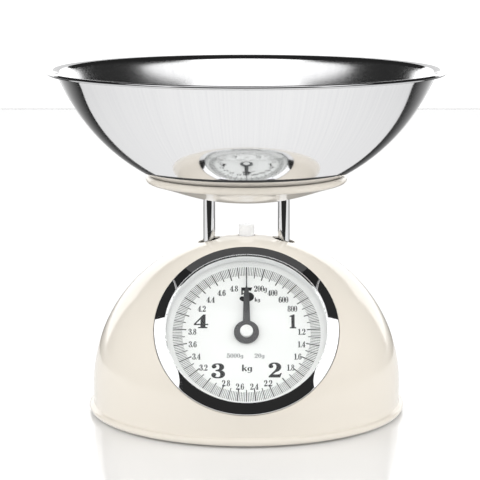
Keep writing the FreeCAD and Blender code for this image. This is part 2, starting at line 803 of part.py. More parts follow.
def make_rack_arm():
    """A steel arm that stands on the spring anchor and reaches forward to the rack."""
    x_low, x_high = 3.0, 3.0 + sheet
    plate = side_plate([
        (-sheet / 2, anchor_low_z), (-sheet / 2, 70), (-4, 74), (-30, 74), (-35.0, 71.5),
        (-38.9, 66.4), (-30, 66.5), (-10, 66.5), (-8, 64.5), (-6, anchor_low_z),
    ], x_low, x_high)
    foot = box(x_low - 2.5, x_high + 2.4, -sheet / 2 - 1.2, -sheet / 2, anchor_low_z, anchor_low_z + 4)
    tab = on_dial(box(x_low - 0.8, x_high + 4.4, 15.5, 23, rack_back - 1.6, rack_back))
    arm = fused([plate, foot, tab])
    return arm.cut(on_dial(column(1.2 + fit_gap, 6.4, 19.5, 50, 70)))


def make_rack():
    """A toothed blade square to the pointer's axis. A gap between teeth is centred on the axis."""
    pitch = math.pi * gear_module
    lean = math.tan(pressure_angle)
    tip_x = pitch_radius - rack_addendum
    root_x = pitch_radius + pinion_addendum + root_gap
    half_tooth = (pitch / 2 - backlash) / 2
    half_tip = half_tooth - rack_addendum * lean
    half_root = half_tooth + (root_x - pitch_radius) * lean
    in_plane_travel = travel * math.cos(math.radians(dial_tilt))
    first = -2
    last = int(in_plane_travel / pitch) + 2
    low_end = (first - 0.5) * pitch - 1.2
    edge = [(root_x, low_end)]
    for tooth in range(first, last + 1):
        middle = (tooth + 0.5) * pitch
        edge += [
            (root_x, middle - half_root), (tip_x, middle - half_tip),
            (tip_x, middle + half_tip), (root_x, middle + half_root),
        ]
    edge += [(root_x, 15.5), (root_x + 1.2, 16.5), (root_x + 1.2, 22.5), (9.0, 22.5), (9.0, 16.5)]
    edge += [(rack_width_end, 14.8), (rack_width_end, low_end)]
    corners = [Vector(x, u, rack_back) for x, u in edge]
    blade = Part.Face(Part.makePolygon(corners + corners[:1])).extrude(Vector(0, 0, rack_thickness))
    return on_dial(blade.cut(column(1.2 + fit_gap, 6.4, 19.5, 50, 70)))


def make_rack_rivet():
    rivet = fused([
        column(1.2, 6.4, 19.5, rack_back - 2.0, rack_front + 0.4),
        column(1.8, 6.4, 19.5, rack_back - 2.4, rack_back - 1.6),
        column(1.8, 6.4, 19.5, rack_front, rack_front + 0.8),
    ])
    return on_dial(rivet)


def make_spring(side):
    """A tension spring with an arched hook at each end."""
    low = anchor_hook_z + coil_radius
    height = hanger_hook_z - anchor_hook_z - 2 * coil_radius
    path = Part.Wire(Part.makeHelix(height / spring_turns, height, coil_radius).Edges)
    section = Part.Wire(Part.makeCircle(wire_radius, Vector(coil_radius, 0, 0), Vector(0, 1, 0)))
    coil = path.makePipeShell([section], True, True)
    coil.rotate(Vector(0, 0, 0), Vector(0, 0, 1), 90)
    coil.translate(Vector(0, 0, low))
    pieces = [coil]
    for z, sense in ((low, -1), (low + height, 1)):
        wire = Part.Face(Part.Wire(Part.makeCircle(wire_radius, Vector(0, coil_radius, z))))
        pieces.append(wire.revolve(Vector(0, 0, z), Vector(1, 0, 0), 180 * sense))
        pieces.append(Part.makeSphere(wire_radius, Vector(0, coil_radius, z)))
    spring = pieces[0].multiFuse(pieces[1:])
    spring.translate(Vector(side * spring_x, 0, 0))
    return spring


def make_tray_screws():
    screw = pan_screw(2.9, 1.1, tray_screw_radius, tray_screw_length)
    sides = (-1, 1)
    screws = [placed_at(screw, side * half_spacing, 0, tray_screw_seat_z, True) for side in sides]
    return Part.makeCompound(screws)


# ---------------------------------------------------------------- zero adjuster
knob_radius = 5.1
knob_top_z = 124.0
knob_bottom_z = 111.0
hanger_low_z = 76.0
hanger_high_z = 84.0
nut_radius = 3.4
hanger_boss_radius = 5.6
zero_screw_bottom_z = 72.5


def make_zero_knob():
    knob = turned([
        (0, knob_bottom_z),
        (knob_radius, knob_bottom_z),
        (knob_radius, knob_top_z - 0.8),
        ((knob_radius - 0.24, knob_top_z - 0.24), (knob_radius - 0.8, knob_top_z)),
        (0, knob_top_z),
    ])
    flutes = 24
    for k in range(flutes):
        x, y = on_arc((0, 0), knob_radius + 0.28, 360 * k / flutes)
        knob = knob.cut(column(0.4, x, y, knob_bottom_z - 1, knob_top_z - 1.2))
    return knob.cut(column(zero_screw_radius, 0, 0, knob_bottom_z - 1, knob_top_z - 3))


def make_zero_screw():
    shaft = column(zero_screw_radius, 0, 0, zero_screw_bottom_z, knob_top_z - 3)
    collar_low = arm_z + sheet + 1.3
    return shaft.fuse(column(4.2, 0, 0, collar_low, collar_low + 2)).removeSplitter()


def make_screw_bush():
    low = arm_z - 0.8
    bush = column(screw_bush_radius - 1, 0, 0, low, arm_z + sheet + 1)
    flange = column(screw_bush_radius + 1, 0, 0, arm_z + sheet, arm_z + sheet + 1.2)
    bush = bush.fuse(flange).removeSplitter()
    return bush.cut(column(zero_screw_radius + fit_gap, 0, 0, low - 1, arm_z + 6))


def make_zero_clip():
    clip = split_ring(4.0, zero_screw_radius, 0.8, 0)
    clip.rotate(Vector(0, 0, 0), Vector(0, 1, 0), -90)
    clip.translate(Vector(0, 0, arm_z - 1.8))
    return clip


def make_spring_hanger():
    """A cast bar with a threaded insert in its middle boss and a spring hole near each end."""
    bar = box(-16.5, 16.5, -sheet / 2, sheet / 2, hanger_low_z, hanger_high_z)
    bar = bar.fuse(column(hanger_boss_radius, 0, 0, hanger_low_z, hanger_high_z)).removeSplitter()
    bar = bar.cut(column(nut_radius, 0, 0, hanger_low_z - 1, hanger_high_z + 1))
    for side in (-1, 1):
        x = side * spring_x
        bar = bar.cut(rod(wire_radius * 2, (x, -5, hanger_hook_z), (x, 5, hanger_hook_z)))
    return bar


def make_hanger_nut():
    return tube(nut_radius, zero_screw_radius + fit_gap, 0, 0, hanger_low_z, hanger_high_z)


# ---------------------------------------------------------------- all parts
def make_parts():
    """Every sub-part by its node name."""
    parts = {
        "dome_housing": make_dome_housing(),
        "base_plate": make_base_plate(),
        "base_screws": make_base_screws(),
        "bezel": make_bezel(),
        "bezel_screws": make_bezel_screws(),
        "lens": make_lens(),
        "dial_plate": make_dial_plate(),
        "dial_carrier": make_dial_carrier(),
        "carrier_screws": make_carrier_screws(),
        "movement_bracket": make_movement_bracket(),
        "front_bush": make_bush(carrier_back - 2.5, dial_face, carrier_back - 2.5, carrier_back - 0.02),
        "rear_bush": make_bush(bracket_rear - 0.8, bracket_rear + 2.7, bracket_rear + sheet,
                               bracket_rear + 2.7),
        "rack_guide": make_rack_guide(),
        "dial_stand": make_dial_stand(),
        "stand_screws": make_chassis_screws(stand_screw_places),
        "frame": make_frame(),
        "frame_screws": make_chassis_screws(frame_screw_places),
        "upper_pivot_rod": make_pivot_rod(upper_pivot_z),
        "lower_pivot_rod": make_pivot_rod(lower_pivot_z),
        "pivot_clips": make_pivot_clips(),
        "screw_bush": make_screw_bush(),
        "pinion_shaft": make_pinion_shaft(),
        "pointer": make_pointer(),
        "pointer_cap": make_pointer_cap(),
        "upper_link": make_link(upper_pivot_z),
        "lower_link": make_link(lower_pivot_z),
        "carriage": make_carriage(),
        "carriage_pins": make_carriage_pins(),
        "spring_anchor": make_spring_anchor(),
        "rack_arm": make_rack_arm(),
        "rack": make_rack(),
        "rack_rivet": make_rack_rivet(),
        "left_spring": make_spring(-1),
        "right_spring": make_spring(1),
        "left_post": make_post(-1),
        "right_post": make_post(1),
        "tray": make_tray(),
        "tray_screws": make_tray_screws(),
        "post_screws": make_post_screws(),
        "bowl": make_bowl(),
        "zero_knob": make_zero_knob(),
        "zero_screw": make_zero_screw(),
        "zero_clip": make_zero_clip(),
        "spring_hanger": make_spring_hanger(),
        "hanger_nut": make_hanger_nut(),
    }
    for name, (x, y) in foot_places().items():
        parts[name] = make_foot(x, y)
    return parts


os.makedirs("parts", exist_ok=True)
for node, shape in make_parts().items():
    shape.exportStep(os.path.join("parts", node + ".step"))
    print(f"{node}: {len(shape.Solids)} solids, {shape.Volume:.1f} mm3, valid {shape.isValid()}")
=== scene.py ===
import math

import bpy
from mathutils import Matrix, Vector


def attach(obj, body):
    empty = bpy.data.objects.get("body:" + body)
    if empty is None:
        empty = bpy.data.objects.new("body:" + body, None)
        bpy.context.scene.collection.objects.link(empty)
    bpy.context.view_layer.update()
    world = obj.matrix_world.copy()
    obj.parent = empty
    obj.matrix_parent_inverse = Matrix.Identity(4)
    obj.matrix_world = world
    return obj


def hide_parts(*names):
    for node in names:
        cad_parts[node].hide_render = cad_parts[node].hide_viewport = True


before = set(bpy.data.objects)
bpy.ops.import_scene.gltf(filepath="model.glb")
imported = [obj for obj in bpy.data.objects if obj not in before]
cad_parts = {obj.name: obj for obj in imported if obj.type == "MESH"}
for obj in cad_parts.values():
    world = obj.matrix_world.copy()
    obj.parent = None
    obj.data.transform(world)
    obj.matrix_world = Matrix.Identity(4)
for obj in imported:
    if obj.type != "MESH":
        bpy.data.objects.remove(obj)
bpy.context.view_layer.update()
scene = bpy.context.scene
mm = 0.001


def letGo():
    if bpy.context.object and bpy.context.object.mode != "OBJECT":
        bpy.ops.object.mode_set(mode="OBJECT")
    bpy.ops.object.select_all(action="DESELECT")


def pickUp(piece):
    letGo()
    piece.select_set(True)
    bpy.context.view_layer.objects.active = piece
    return piece


def named(name):
    piece = bpy.context.object
    piece.name = name
    piece.data.name = name
    return piece


def settle(piece):
    # the place goes into the mesh, and the object back to the origin
    pickUp(piece)
    bpy.ops.object.transform_apply(location=True, rotation=True, scale=True)
    return piece


def softenEdges(piece, degrees=32):
    pickUp(piece)
    bpy.ops.object.shade_smooth_by_angle(angle=math.radians(degrees))
    return piece


def addModifier(piece, kind, **settings):
    pickUp(piece)
    modifier = piece.modifiers.new(kind.lower(), kind)
    for key, value in settings.items():
        setattr(modifier, key, value)
    bpy.ops.object.modifier_apply(modifier=modifier.name)


def joinAll(name, members):
    letGo()
    for member in members:
        member.select_set(True)
    bpy.context.view_layer.objects.active = members[0]
    if len(members) > 1:
        bpy.ops.object.join()
    return named(name)


def cutAway(piece, cutter, operation="DIFFERENCE"):
    addModifier(piece, "BOOLEAN", object=cutter, operation=operation, solver="EXACT")
    bpy.data.objects.remove(cutter)


def arc(centre, radius, start, end, steps):
    # points (radius, height) along an arc, from one angle to another, in degrees
    turns = [math.radians(start + (end - start) * k / steps) for k in range(steps + 1)]
    return [(centre[0] + radius * math.cos(a), centre[1] + radius * math.sin(a)) for a in turns]


def evenly(start, end, steps):
    return [(start[0] + (end[0] - start[0]) * k / steps, start[1] + (end[1] - start[1]) * k / steps)
            for k in range(1, steps)]


def bezier(a, b, c, d, steps):
    # points along a curve from a to d, drawn towards b and c
    points = []
    for k in range(steps + 1):
        t = k / steps
        weights = ((1 - t) ** 3, 3 * t * (1 - t) ** 2, 3 * t * t * (1 - t), t ** 3)
        points.append(tuple(sum(w * p[i] for w, p in zip(weights, (a, b, c, d))) for i in (0, 1)))
    return points


def spun(name, outline, steps=192, closed=False, soft=32):
    # a single vertex is drawn out along the outline (radius, height in mm), and then spun about Z
    letGo()
    bpy.ops.mesh.primitive_plane_add(size=mm, location=(0, 0, 0))
    piece = named(name)
    bpy.ops.object.mode_set(mode="EDIT")
    bpy.ops.mesh.select_all(action="SELECT")
    bpy.ops.mesh.merge(type="CENTER")
    first = outline[0]
    bpy.ops.transform.translate(value=(first[0] * mm, 0, first[1] * mm))
    here = first
    for point in outline[1:] + ([first] if closed else []):
        step = ((point[0] - here[0]) * mm, 0, (point[1] - here[1]) * mm)
        bpy.ops.mesh.extrude_region_move(TRANSFORM_OT_translate={"value": step})
        here = point
    bpy.ops.mesh.select_all(action="SELECT")
    bpy.ops.mesh.spin(steps=steps, angle=2 * math.pi, center=(0, 0, 0), axis=(0, 0, 1))
    bpy.ops.mesh.select_all(action="SELECT")
    bpy.ops.mesh.remove_doubles(threshold=2e-6)
    bpy.ops.mesh.normals_make_consistent(inside=False)
    bpy.ops.object.mode_set(mode="OBJECT")
    return softenEdges(piece, soft)


def rodCutter(radius, low, high, x=0, y=0, sides=96):
    letGo()
    bpy.ops.mesh.primitive_cylinder_add(vertices=sides, radius=radius * mm, depth=(high - low) * mm,
                                        location=(x * mm, y * mm, (low + high) / 2 * mm))
    return settle(bpy.context.object)


class Wire:
    # a socket that can be added, multiplied and compared like a number
    def __init__(self, finish, socket):
        self.finish = finish
        self.socket = socket

    def __add__(self, other):
        return self.finish.sum("ADD", self, other)

    def __radd__(self, other):
        return self.finish.sum("ADD", other, self)

    def __sub__(self, other):
        return self.finish.sum("SUBTRACT", self, other)

    def __rsub__(self, other):
        return self.finish.sum("SUBTRACT", other, self)

    def __mul__(self, other):
        return self.finish.sum("MULTIPLY", self, other)

    def __rmul__(self, other):
        return self.finish.sum("MULTIPLY", other, self)

    def __pow__(self, other):
        return self.finish.sum("POWER", self, other)

    def __lt__(self, other):
        return self.finish.sum("LESS_THAN", self, other)


class Finish:
    # a material, built node by node
    def __init__(self, name):
        self.material = bpy.data.materials.new(name)
        self.material.use_nodes = True
        self.tree = self.material.node_tree
        self.tree.nodes.clear()

    def node(self, kind, settings=None, inputs=None, take=0):
        made = self.tree.nodes.new(kind)
        for key, value in (settings or {}).items():
            setattr(made, key, value)
        for key, value in (inputs or {}).items():
            if isinstance(key, int):
                socket = made.inputs[key]
            else:
                socket = next(s for s in made.inputs if s.name == key and s.enabled)
            if isinstance(value, Wire):
                self.tree.links.new(value.socket, socket)
            else:
                socket.default_value = value
        if isinstance(take, int):
            return Wire(self, made.outputs[take])
        return Wire(self, next(s for s in made.outputs if s.name == take and s.enabled))

    def place(self):
        return self.node("ShaderNodeTexCoord", take="Object")

    def noise(self, scale, detail, vector=None):
        return self.node("ShaderNodeTexNoise", {}, {"Vector": vector or self.place(), "Scale": scale,
                                                    "Detail": detail, "Roughness": 0.5}, "Fac")

    def sum(self, operation, first, second=0.0):
        return self.node("ShaderNodeMath", {"operation": operation}, {0: first, 1: second})

    def between(self, value, low, high, newLow=0.0, newHigh=1.0):
        return self.node("ShaderNodeMapRange", {"clamp": True}, {"Value": value, "From Min": low,
                         "From Max": high, "To Min": newLow, "To Max": newHigh}, "Result")

    def blend(self, factor, first, second):
        return self.node("ShaderNodeMix", {"data_type": "RGBA"}, {"Factor": factor, "A": first, "B": second},
                         "Result")

    def bump(self, height, distance, strength=1.0):
        return self.node("ShaderNodeBump", {}, {"Height": height, "Distance": distance, "Strength": strength},
                         "Normal")

    def skin(self, **inputs):
        values = {key.replace("_", " "): value for key, value in inputs.items()}
        return self.node("ShaderNodeBsdfPrincipled", {}, values, "BSDF")

    def glow(self, strength, oneSided=True):
        # light of a varying strength, by itself from the front of a face only
        tone = self.node("ShaderNodeCombineXYZ", {}, {"X": strength, "Y": strength, "Z": strength}, "Vector")
        light = self.node("ShaderNodeEmission", {}, {"Color": tone, "Strength": 1.0}, "Emission")
        if not oneSided:
            return self.done(light)
        behind = self.node("ShaderNodeNewGeometry", take="Backfacing")
        clear = self.node("ShaderNodeBsdfTransparent", {}, {}, "BSDF")
        return self.done(self.node("ShaderNodeMixShader", {}, {0: behind, 1: light, 2: clear}, "Shader"))

    def done(self, shader):
        out = self.tree.nodes.new("ShaderNodeOutputMaterial")
        self.tree.links.new(shader.socket, out.inputs["Surface"])
        return self.material


def dress(piece, material):
    piece.data.materials.clear()
    piece.data.materials.append(material)


def colour(red, green, blue):
    return (red, green, blue, 1.0)


cameraSet = {"distance": 1.2416, "height": 0.3232, "lookDown": 9.615, "lens": 143.21, "sideShift": -0.01354}
cameraData = bpy.data.cameras.new("camera")
camera = bpy.data.objects.new("camera", cameraData)
scene.collection.objects.link(camera)
camera.location = (0, -cameraSet["distance"], cameraSet["height"])
camera.rotation_euler = (math.radians(90 - cameraSet["lookDown"]), 0, 0)
cameraData.lens = cameraSet["lens"]
cameraData.sensor_width = 36
cameraData.shift_x = cameraSet["sideShift"]
cameraData.clip_start = 0.05
cameraData.clip_end = 60
scene.camera = camera
scene.view_settings.view_transform = "Standard"
print("camera placed")


def creamGloss():
    look = {"base": colour(0.725, 0.678, 0.602), "warm": colour(0.708, 0.654, 0.572), "gloss": 0.09}
    f = Finish("creamGloss")
    cloud = f.noise(14, 2)
    smudge = f.noise(60, 4)
    peel = f.noise(420, 1)
    base = f.blend(f.between(cloud, 0.35, 0.75, 0.0, 0.35), look["base"], look["warm"])
    rough = f.between(smudge, 0.3, 0.8, look["gloss"], look["gloss"] + 0.05)
    return f.done(f.skin(Base_Color=base, Roughness=rough, Normal=f.bump(peel, 0.00004, 0.25), IOR=1.5))


def polishedSteel():
    # mirror bright outside, and a finely brushed satin inside
    look = {"base": colour(0.83, 0.83, 0.835), "dull": colour(0.80, 0.80, 0.81), "rim": colour(0.62, 0.62, 0.63),
            "shadedRimZ": 0.2232, "arcX": 0.0035, "arcZ": 0.270, "middle": 0.12765, "ringGrain": 3600, "fanGrain": 200,
            "fanRise": 18, "outside": 0.06, "inside": 0.19}
    f = Finish("polishedSteel")
    place = f.place()
    flat = f.node("ShaderNodeVectorMath", {"operation": "MULTIPLY"}, {0: place, 1: (1, 1, 0)}, "Vector")
    reach = f.node("ShaderNodeVectorMath", {"operation": "LENGTH"}, {0: flat}, "Value")
    height = f.node("ShaderNodeSeparateXYZ", {}, {"Vector": place}, "Z")
    across = f.node("ShaderNodeSeparateXYZ", {}, {"Vector": place}, "X")
    along = f.node("ShaderNodeSeparateXYZ", {}, {"Vector": place}, "Y")
    turn = f.sum("ARCTAN2", along, across)
    inside = (((reach - look["arcX"]) ** 2 + (height - look["arcZ"]) ** 2) ** 0.5) < look["middle"]
    # rings left by polishing, and fine streaks that fan out from the foot
    ringed = f.node("ShaderNodeTexNoise", {"noise_dimensions": "1D"},
                    {"W": (reach + height * 0.6) * look["ringGrain"], "Scale": 1.0, "Detail": 2.0}, "Fac")
    fan = f.node("ShaderNodeCombineXYZ", {}, {"X": turn * look["fanGrain"], "Y": height * look["fanRise"]}, "Vector")
    fanned = f.node("ShaderNodeTexNoise", {"noise_dimensions": "2D"}, {"Vector": fan, "Scale": 0.35, "Detail": 4.0},
                    "Fac")
    cloud = f.noise(22, 3)
    rough = look["outside"] + f.between(cloud, 0.3, 0.75, 0.0, 0.03) + f.between(fanned, 0.4, 0.8, 0.0, 0.012)
    rough = rough + inside * (look["inside"] - look["outside"])
    base = f.blend(f.between(fanned, 0.35, 0.75), look["base"], look["dull"])
    # painted shade: the rolled flange at the top gets a darker base, which dulls its reflection
    base = f.blend(f.between(height, look["shadedRimZ"], look["shadedRimZ"] + 0.001), base, look["rim"])
    return f.done(f.skin(Base_Color=base, Metallic=1.0, Roughness=rough, Normal=f.bump(ringed, 0.000003, 0.12)))


def chrome():
    look = {"base": colour(0.93, 0.93, 0.935), "haze": colour(0.86, 0.865, 0.88)}
    f = Finish("chrome")
    haze = f.noise(90, 4)
    speck = f.noise(900, 2)
    base = f.blend(f.between(haze, 0.4, 0.8), look["base"], look["haze"])
    rough = f.between(haze, 0.3, 0.8, 0.02, 0.045) + f.between(speck, 0.62, 0.8, 0.0, 0.05)
    return f.done(f.skin(Base_Color=base, Metallic=1.0, Roughness=rough))


def dialPaint():
    f = Finish("dialPaint")
    grain = f.noise(2600, 2)
    cloud = f.noise(30, 2)
    base = f.blend(f.between(cloud, 0.3, 0.8), colour(0.96, 0.96, 0.96), colour(0.94, 0.94, 0.94))
    return f.done(f.skin(Base_Color=base, Roughness=f.between(grain, 0.3, 0.7, 0.42, 0.55),
                         Normal=f.bump(grain, 0.00001, 0.2)))


def ink(name, base):
    f = Finish(name)
    grain = f.noise(3000, 2)
    shade = f.blend(f.between(grain, 0.3, 0.8), colour(*base), colour(*[c * 1.35 + 0.004 for c in base]))
    return f.done(f.skin(Base_Color=shade, Roughness=f.between(grain, 0.3, 0.8, 0.35, 0.5)))


def plastic(name, base, rough, grainScale, grainDepth):
    f = Finish(name)
    grain = f.noise(grainScale, 3)
    cloud = f.noise(25, 2)
    shade = f.blend(f.between(cloud, 0.3, 0.8), colour(*base), colour(*[c * 0.93 for c in base]))
    return f.done(f.skin(Base_Color=shade, Roughness=f.between(grain, 0.3, 0.7, rough, rough + 0.08),
                         Normal=f.bump(grain, grainDepth, 0.35)))


def paintedMetal(name, base, rough):
    f = Finish(name)
    peel = f.noise(1200, 2)
    shade = f.blend(f.between(peel, 0.3, 0.8), colour(*base), colour(*[c * 0.9 for c in base]))
    return f.done(f.skin(Base_Color=shade, Roughness=f.between(peel, 0.3, 0.8, rough, rough + 0.1),
                         Normal=f.bump(peel, 0.00001, 0.3), Metallic=0.25))


def metal(name, base, rough, stretch=(1, 1, 12), scale=260, depth=0.00001):
    # rolled, drawn or turned metal: the grain is stretched along one direction
    f = Finish(name)
    place = f.node("ShaderNodeMapping", {"vector_type": "POINT"}, {"Vector": f.place(), "Scale": stretch}, "Vector")
    grain = f.noise(scale, 4, place)
    patch = f.noise(45, 3)
    shade = f.blend(f.between(patch, 0.3, 0.8), colour(*base), colour(*[c * 0.82 for c in base]))
    return f.done(f.skin(Base_Color=shade, Metallic=1.0, Roughness=f.between(grain, 0.3, 0.75, rough, rough + 0.16),
                         Normal=f.bump(grain, depth, 0.5)))


def rubber():
    f = Finish("rubber")
    grain = f.noise(1800, 4)
    dust = f.noise(120, 3)
    shade = f.blend(f.between(dust, 0.45, 0.8), colour(0.022, 0.022, 0.023), colour(0.05, 0.05, 0.05))
    return f.done(f.skin(Base_Color=shade, Roughness=f.between(grain, 0.3, 0.7, 0.6, 0.8),
                         Normal=f.bump(grain, 0.00004, 0.5)))


def clearLens():
    # clear moulded cover: see-through, with a mirror-like gloss that grows towards grazing
    f = Finish("clearLens")
    wave = f.noise(35, 1)
    edge = f.node("ShaderNodeFresnel", {}, {"IOR": 1.46}, "Fac")
    clear = f.node("ShaderNodeBsdfTransparent", {}, {"Color": colour(0.985, 0.99, 0.985)}, "BSDF")
    gloss = f.skin(Base_Color=colour(1, 1, 1), Metallic=1.0, Roughness=f.between(wave, 0.3, 0.8, 0.012, 0.03))
    return f.done(f.node("ShaderNodeMixShader", {}, {0: edge * 0.3, 1: clear, 2: gloss}, "Shader"))


finishes = {
    "cream": creamGloss(),
    "bowlSteel": polishedSteel(),
    "chrome": chrome(),
    "dialPaint": dialPaint(),
    "blackInk": ink("blackInk", (0.012, 0.012, 0.014)),
    "greyInk": ink("greyInk", (0.30, 0.30, 0.31)),
    "white": plastic("whitePlastic", (0.93, 0.93, 0.93), 0.22, 900, 0.00001),
    "needle": paintedMetal("needlePaint", (0.095, 0.095, 0.10), 0.4),
    "lens": clearLens(),
    "basePlastic": plastic("basePlastic", (0.66, 0.61, 0.52), 0.42, 1300, 0.00003),
    "carrierPlastic": plastic("carrierPlastic", (0.70, 0.68, 0.62), 0.45, 1300, 0.00003),
    "nylon": plastic("nylon", (0.78, 0.75, 0.66), 0.4, 1800, 0.00001),
    "rubber": rubber(),
    "brass": metal("brass", (0.78, 0.56, 0.24), 0.2, (1, 1, 1), 900),
    "zinc": metal("castZinc", (0.55, 0.55, 0.56), 0.42, (1, 1, 1), 700, 0.00003),
    "sheetSteel": metal("sheetSteel", (0.62, 0.62, 0.60), 0.24, (1, 14, 1), 240),
    "brightSteel": metal("brightSteel", (0.72, 0.72, 0.72), 0.14, (14, 1, 1), 240),
    "springSteel": metal("springSteel", (0.33, 0.33, 0.35), 0.3, (1, 1, 4), 900),
    "screwSteel": metal("screwSteel", (0.58, 0.58, 0.57), 0.26, (1, 1, 1), 800),
}
print("finishes mixed")


bowlShape = {"centre": (3.5, 270.0), "radius": 128.0, "wall": 0.7, "floor": 144.5, "wallTop": 217.0,
             "rim": 129.9, "top": 225.8, "roll": 1.25,
             "flareOut": ((1.9, 3.9), (122.6, 223.2), (124.8, 224.15)),
             "flareIn": ((1.9, 4.2), (122.2, 224.0), (124.4, 224.9)),
             "lipUnder": (126.4, 224.45), "lipOver": ((127.3, 225.65), (125.8, 225.3))}


def wallAngle(z, radius):
    return math.degrees(math.asin((z - bowlShape["centre"][1]) / radius))


def makeBowl():
    s = bowlShape
    outerR, innerR = s["radius"], s["radius"] - s["wall"]
    outer = arc(s["centre"], outerR, wallAngle(s["floor"], outerR), wallAngle(s["wallTop"], outerR), 56)
    inner = arc(s["centre"], innerR, wallAngle(s["floor"] + s["wall"], innerR), wallAngle(s["wallTop"], innerR), 56)
    roll = s["roll"]
    rollCentre = (s["rim"] - roll, s["top"] - roll)
    # the wall turns out into a sloping flange, and its edge is rolled under
    outTurn, inTurn = s["flareOut"][0], s["flareIn"][0]
    flareOut = bezier(outer[-1], (outer[-1][0] + outTurn[0], s["wallTop"] + outTurn[1]), *s["flareOut"][1:], 10)
    flareIn = bezier(inner[-1], (inner[-1][0] + inTurn[0], s["wallTop"] + inTurn[1]), *s["flareIn"][1:], 10)
    under = [s["lipUnder"], (rollCentre[0] - roll + 0.15, rollCentre[1] + 0.25)]
    rolled = arc(rollCentre, roll, 180, 450, 20)
    outline = [(0, s["floor"])] + evenly((0, s["floor"]), outer[0], 10) + outer + flareOut[1:] + under
    outline += rolled[1:] + list(s["lipOver"]) + flareIn[::-1] + inner[::-1][1:]
    floorIn = (0, s["floor"] + s["wall"])
    outline += evenly(inner[0], floorIn, 10) + [floorIn]
    return spun("bowl.polished", outline, 256, soft=50)


bowl = makeBowl()
dress(bowl, finishes["bowlSteel"])
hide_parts("bowl")
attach(bowl, "bowl")
print("bowl spun")


trayShape = {"floor": 141.0, "flat": 26.0, "rim": 66.0, "seat": 144.5, "gap": 0.06, "mouth": 63.2, "screwX": 24.5,
             "screwHole": 3.1, "under": ((40.0, 143.3), (52.0, 148.6), (62.5, 151.4)),
             "lip": ((64.6, 152.0), (66.0, 152.7)), "lipZ": 154.3, "lipTop": ((66.0, 156.3), (64.7, 156.9))}


def makeTray():
    s = trayShape
    centre, seatArc = bowlShape["centre"], bowlShape["radius"] + s["gap"]
    low = wallAngle(s["seat"], seatArc)
    high = -math.degrees(math.acos((s["mouth"] - centre[0]) / seatArc))
    lipEdge = (s["rim"], s["lipZ"])
    under = bezier((s["flat"], s["floor"]), *s["under"], 24)
    lip = bezier(s["under"][-1], *s["lip"], lipEdge, 10)
    seat = arc(centre, seatArc, high, low, 20)
    top = bezier(lipEdge, *s["lipTop"], seat[0], 12)
    outline = [(0, s["floor"])] + evenly((0, s["floor"]), under[0], 6) + under + lip[1:] + top[1:] + seat[1:]
    outline += evenly(seat[-1], (0, s["seat"]), 6) + [(0, s["seat"])]
    piece = spun("tray.dish", outline, 192, soft=40)
    for side in (-1, 1):
        cutAway(piece, rodCutter(s["screwHole"], s["seat"] - 1.2, s["seat"] + 3, side * s["screwX"], 0, 48))
    return softenEdges(piece, 40)


tray = makeTray()
dress(tray, finishes["cream"])
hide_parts("tray")
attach(tray, "platform")
print("tray spun")


domeShape = {"wall": 101.5, "sideArc": 97.5, "crownArc": 107.0, "sideZ": 18.0, "thick": 2.2,
             "beadRadius": 2.2, "beadReach": 104.3, "beadBottom": 1.2,
             "postHole": 7.5, "postX": 24.5, "knobHole": 5.9, "dialHole": 58.7, "dialSeat": 81.2,
             "cutLow": 90, "cutHigh": 130}
dialSet = {"tilt": 37.4, "originZ": 16.5, "face": 77.5}


def domeArcs(offset):
    s = domeShape
    sideR = s["wall"] - s["sideArc"]
    drop = math.sqrt((s["crownArc"] - s["sideArc"]) ** 2 - sideR ** 2)
    meet = math.degrees(math.atan2(drop, sideR))
    side = arc((sideR, s["sideZ"]), s["sideArc"] - offset, 0, meet, 54)
    crown = arc((0, s["sideZ"] - drop), s["crownArc"] - offset, meet, 90, 22)
    return side + crown[1:]


def domeOutline():
    s = domeShape
    beadCentre = (s["beadReach"] - s["beadRadius"], s["beadBottom"] + s["beadRadius"])
    bead = arc(beadCentre, s["beadRadius"], -90, 78, 18)
    crease = bezier(bead[-1], (beadCentre[0] - 0.1, bead[-1][1] + 0.25), (s["wall"] + 0.05, 5.9), (s["wall"], 6.6), 6)
    outer = domeArcs(0)
    inner = domeArcs(s["thick"])[::-1]
    innerFoot = (s["wall"] - s["thick"], s["beadBottom"])
    outline = [innerFoot, (beadCentre[0], s["beadBottom"])] + bead[1:] + crease[1:]
    outline += evenly(crease[-1], outer[0], 4) + outer + inner + evenly(inner[-1], innerFoot, 4)
    return outline


def onDial(piece):
    piece.rotation_euler = (math.radians(90 - dialSet["tilt"]), 0, 0)
    piece.location = (0, 0, dialSet["originZ"] * mm)
    return settle(piece)


def makeDome():
    s = domeShape
    piece = spun("dome.shell", domeOutline(), 224, closed=True, soft=40)
    pickUp(piece)
    bpy.ops.object.duplicate()
    whole = bpy.context.object
    cutAway(piece, onDial(rodCutter(s["dialHole"], s["dialSeat"], s["cutHigh"], sides=160)))
    for side in (-1, 1):
        cutAway(piece, rodCutter(s["postHole"], s["cutLow"], s["cutHigh"], side * s["postX"], 0, 72))
    cutAway(piece, rodCutter(s["knobHole"], s["cutLow"], s["cutHigh"], sides=72))
    softenEdges(piece, 40)
    # the cuts leave long faces on the gloss, so the smooth shading is taken from the uncut dome
    addModifier(piece, "DATA_TRANSFER", object=whole, use_loop_data=True, data_types_loops={"CUSTOM_NORMAL"},
                loop_mapping="POLYINTERP_NEAREST", use_max_distance=True, max_distance=0.00008)
    bpy.data.objects.remove(whole)
    return piece


dome = makeDome()
dress(dome, finishes["cream"])
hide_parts("dome_housing")
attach(dome, "housing")
print("dome spun and cut")


bezelShape = {"outer": 58.4, "seat": 81.2, "edge": 83.9, "top": 86.75, "window": 51.4, "wall": 50.8,
              "sleeve": 52.05, "back": 78.1, "ledge": 84.9}
lensShape = {"thick": 1.5, "rise": 3.0, "gap": 0.1}


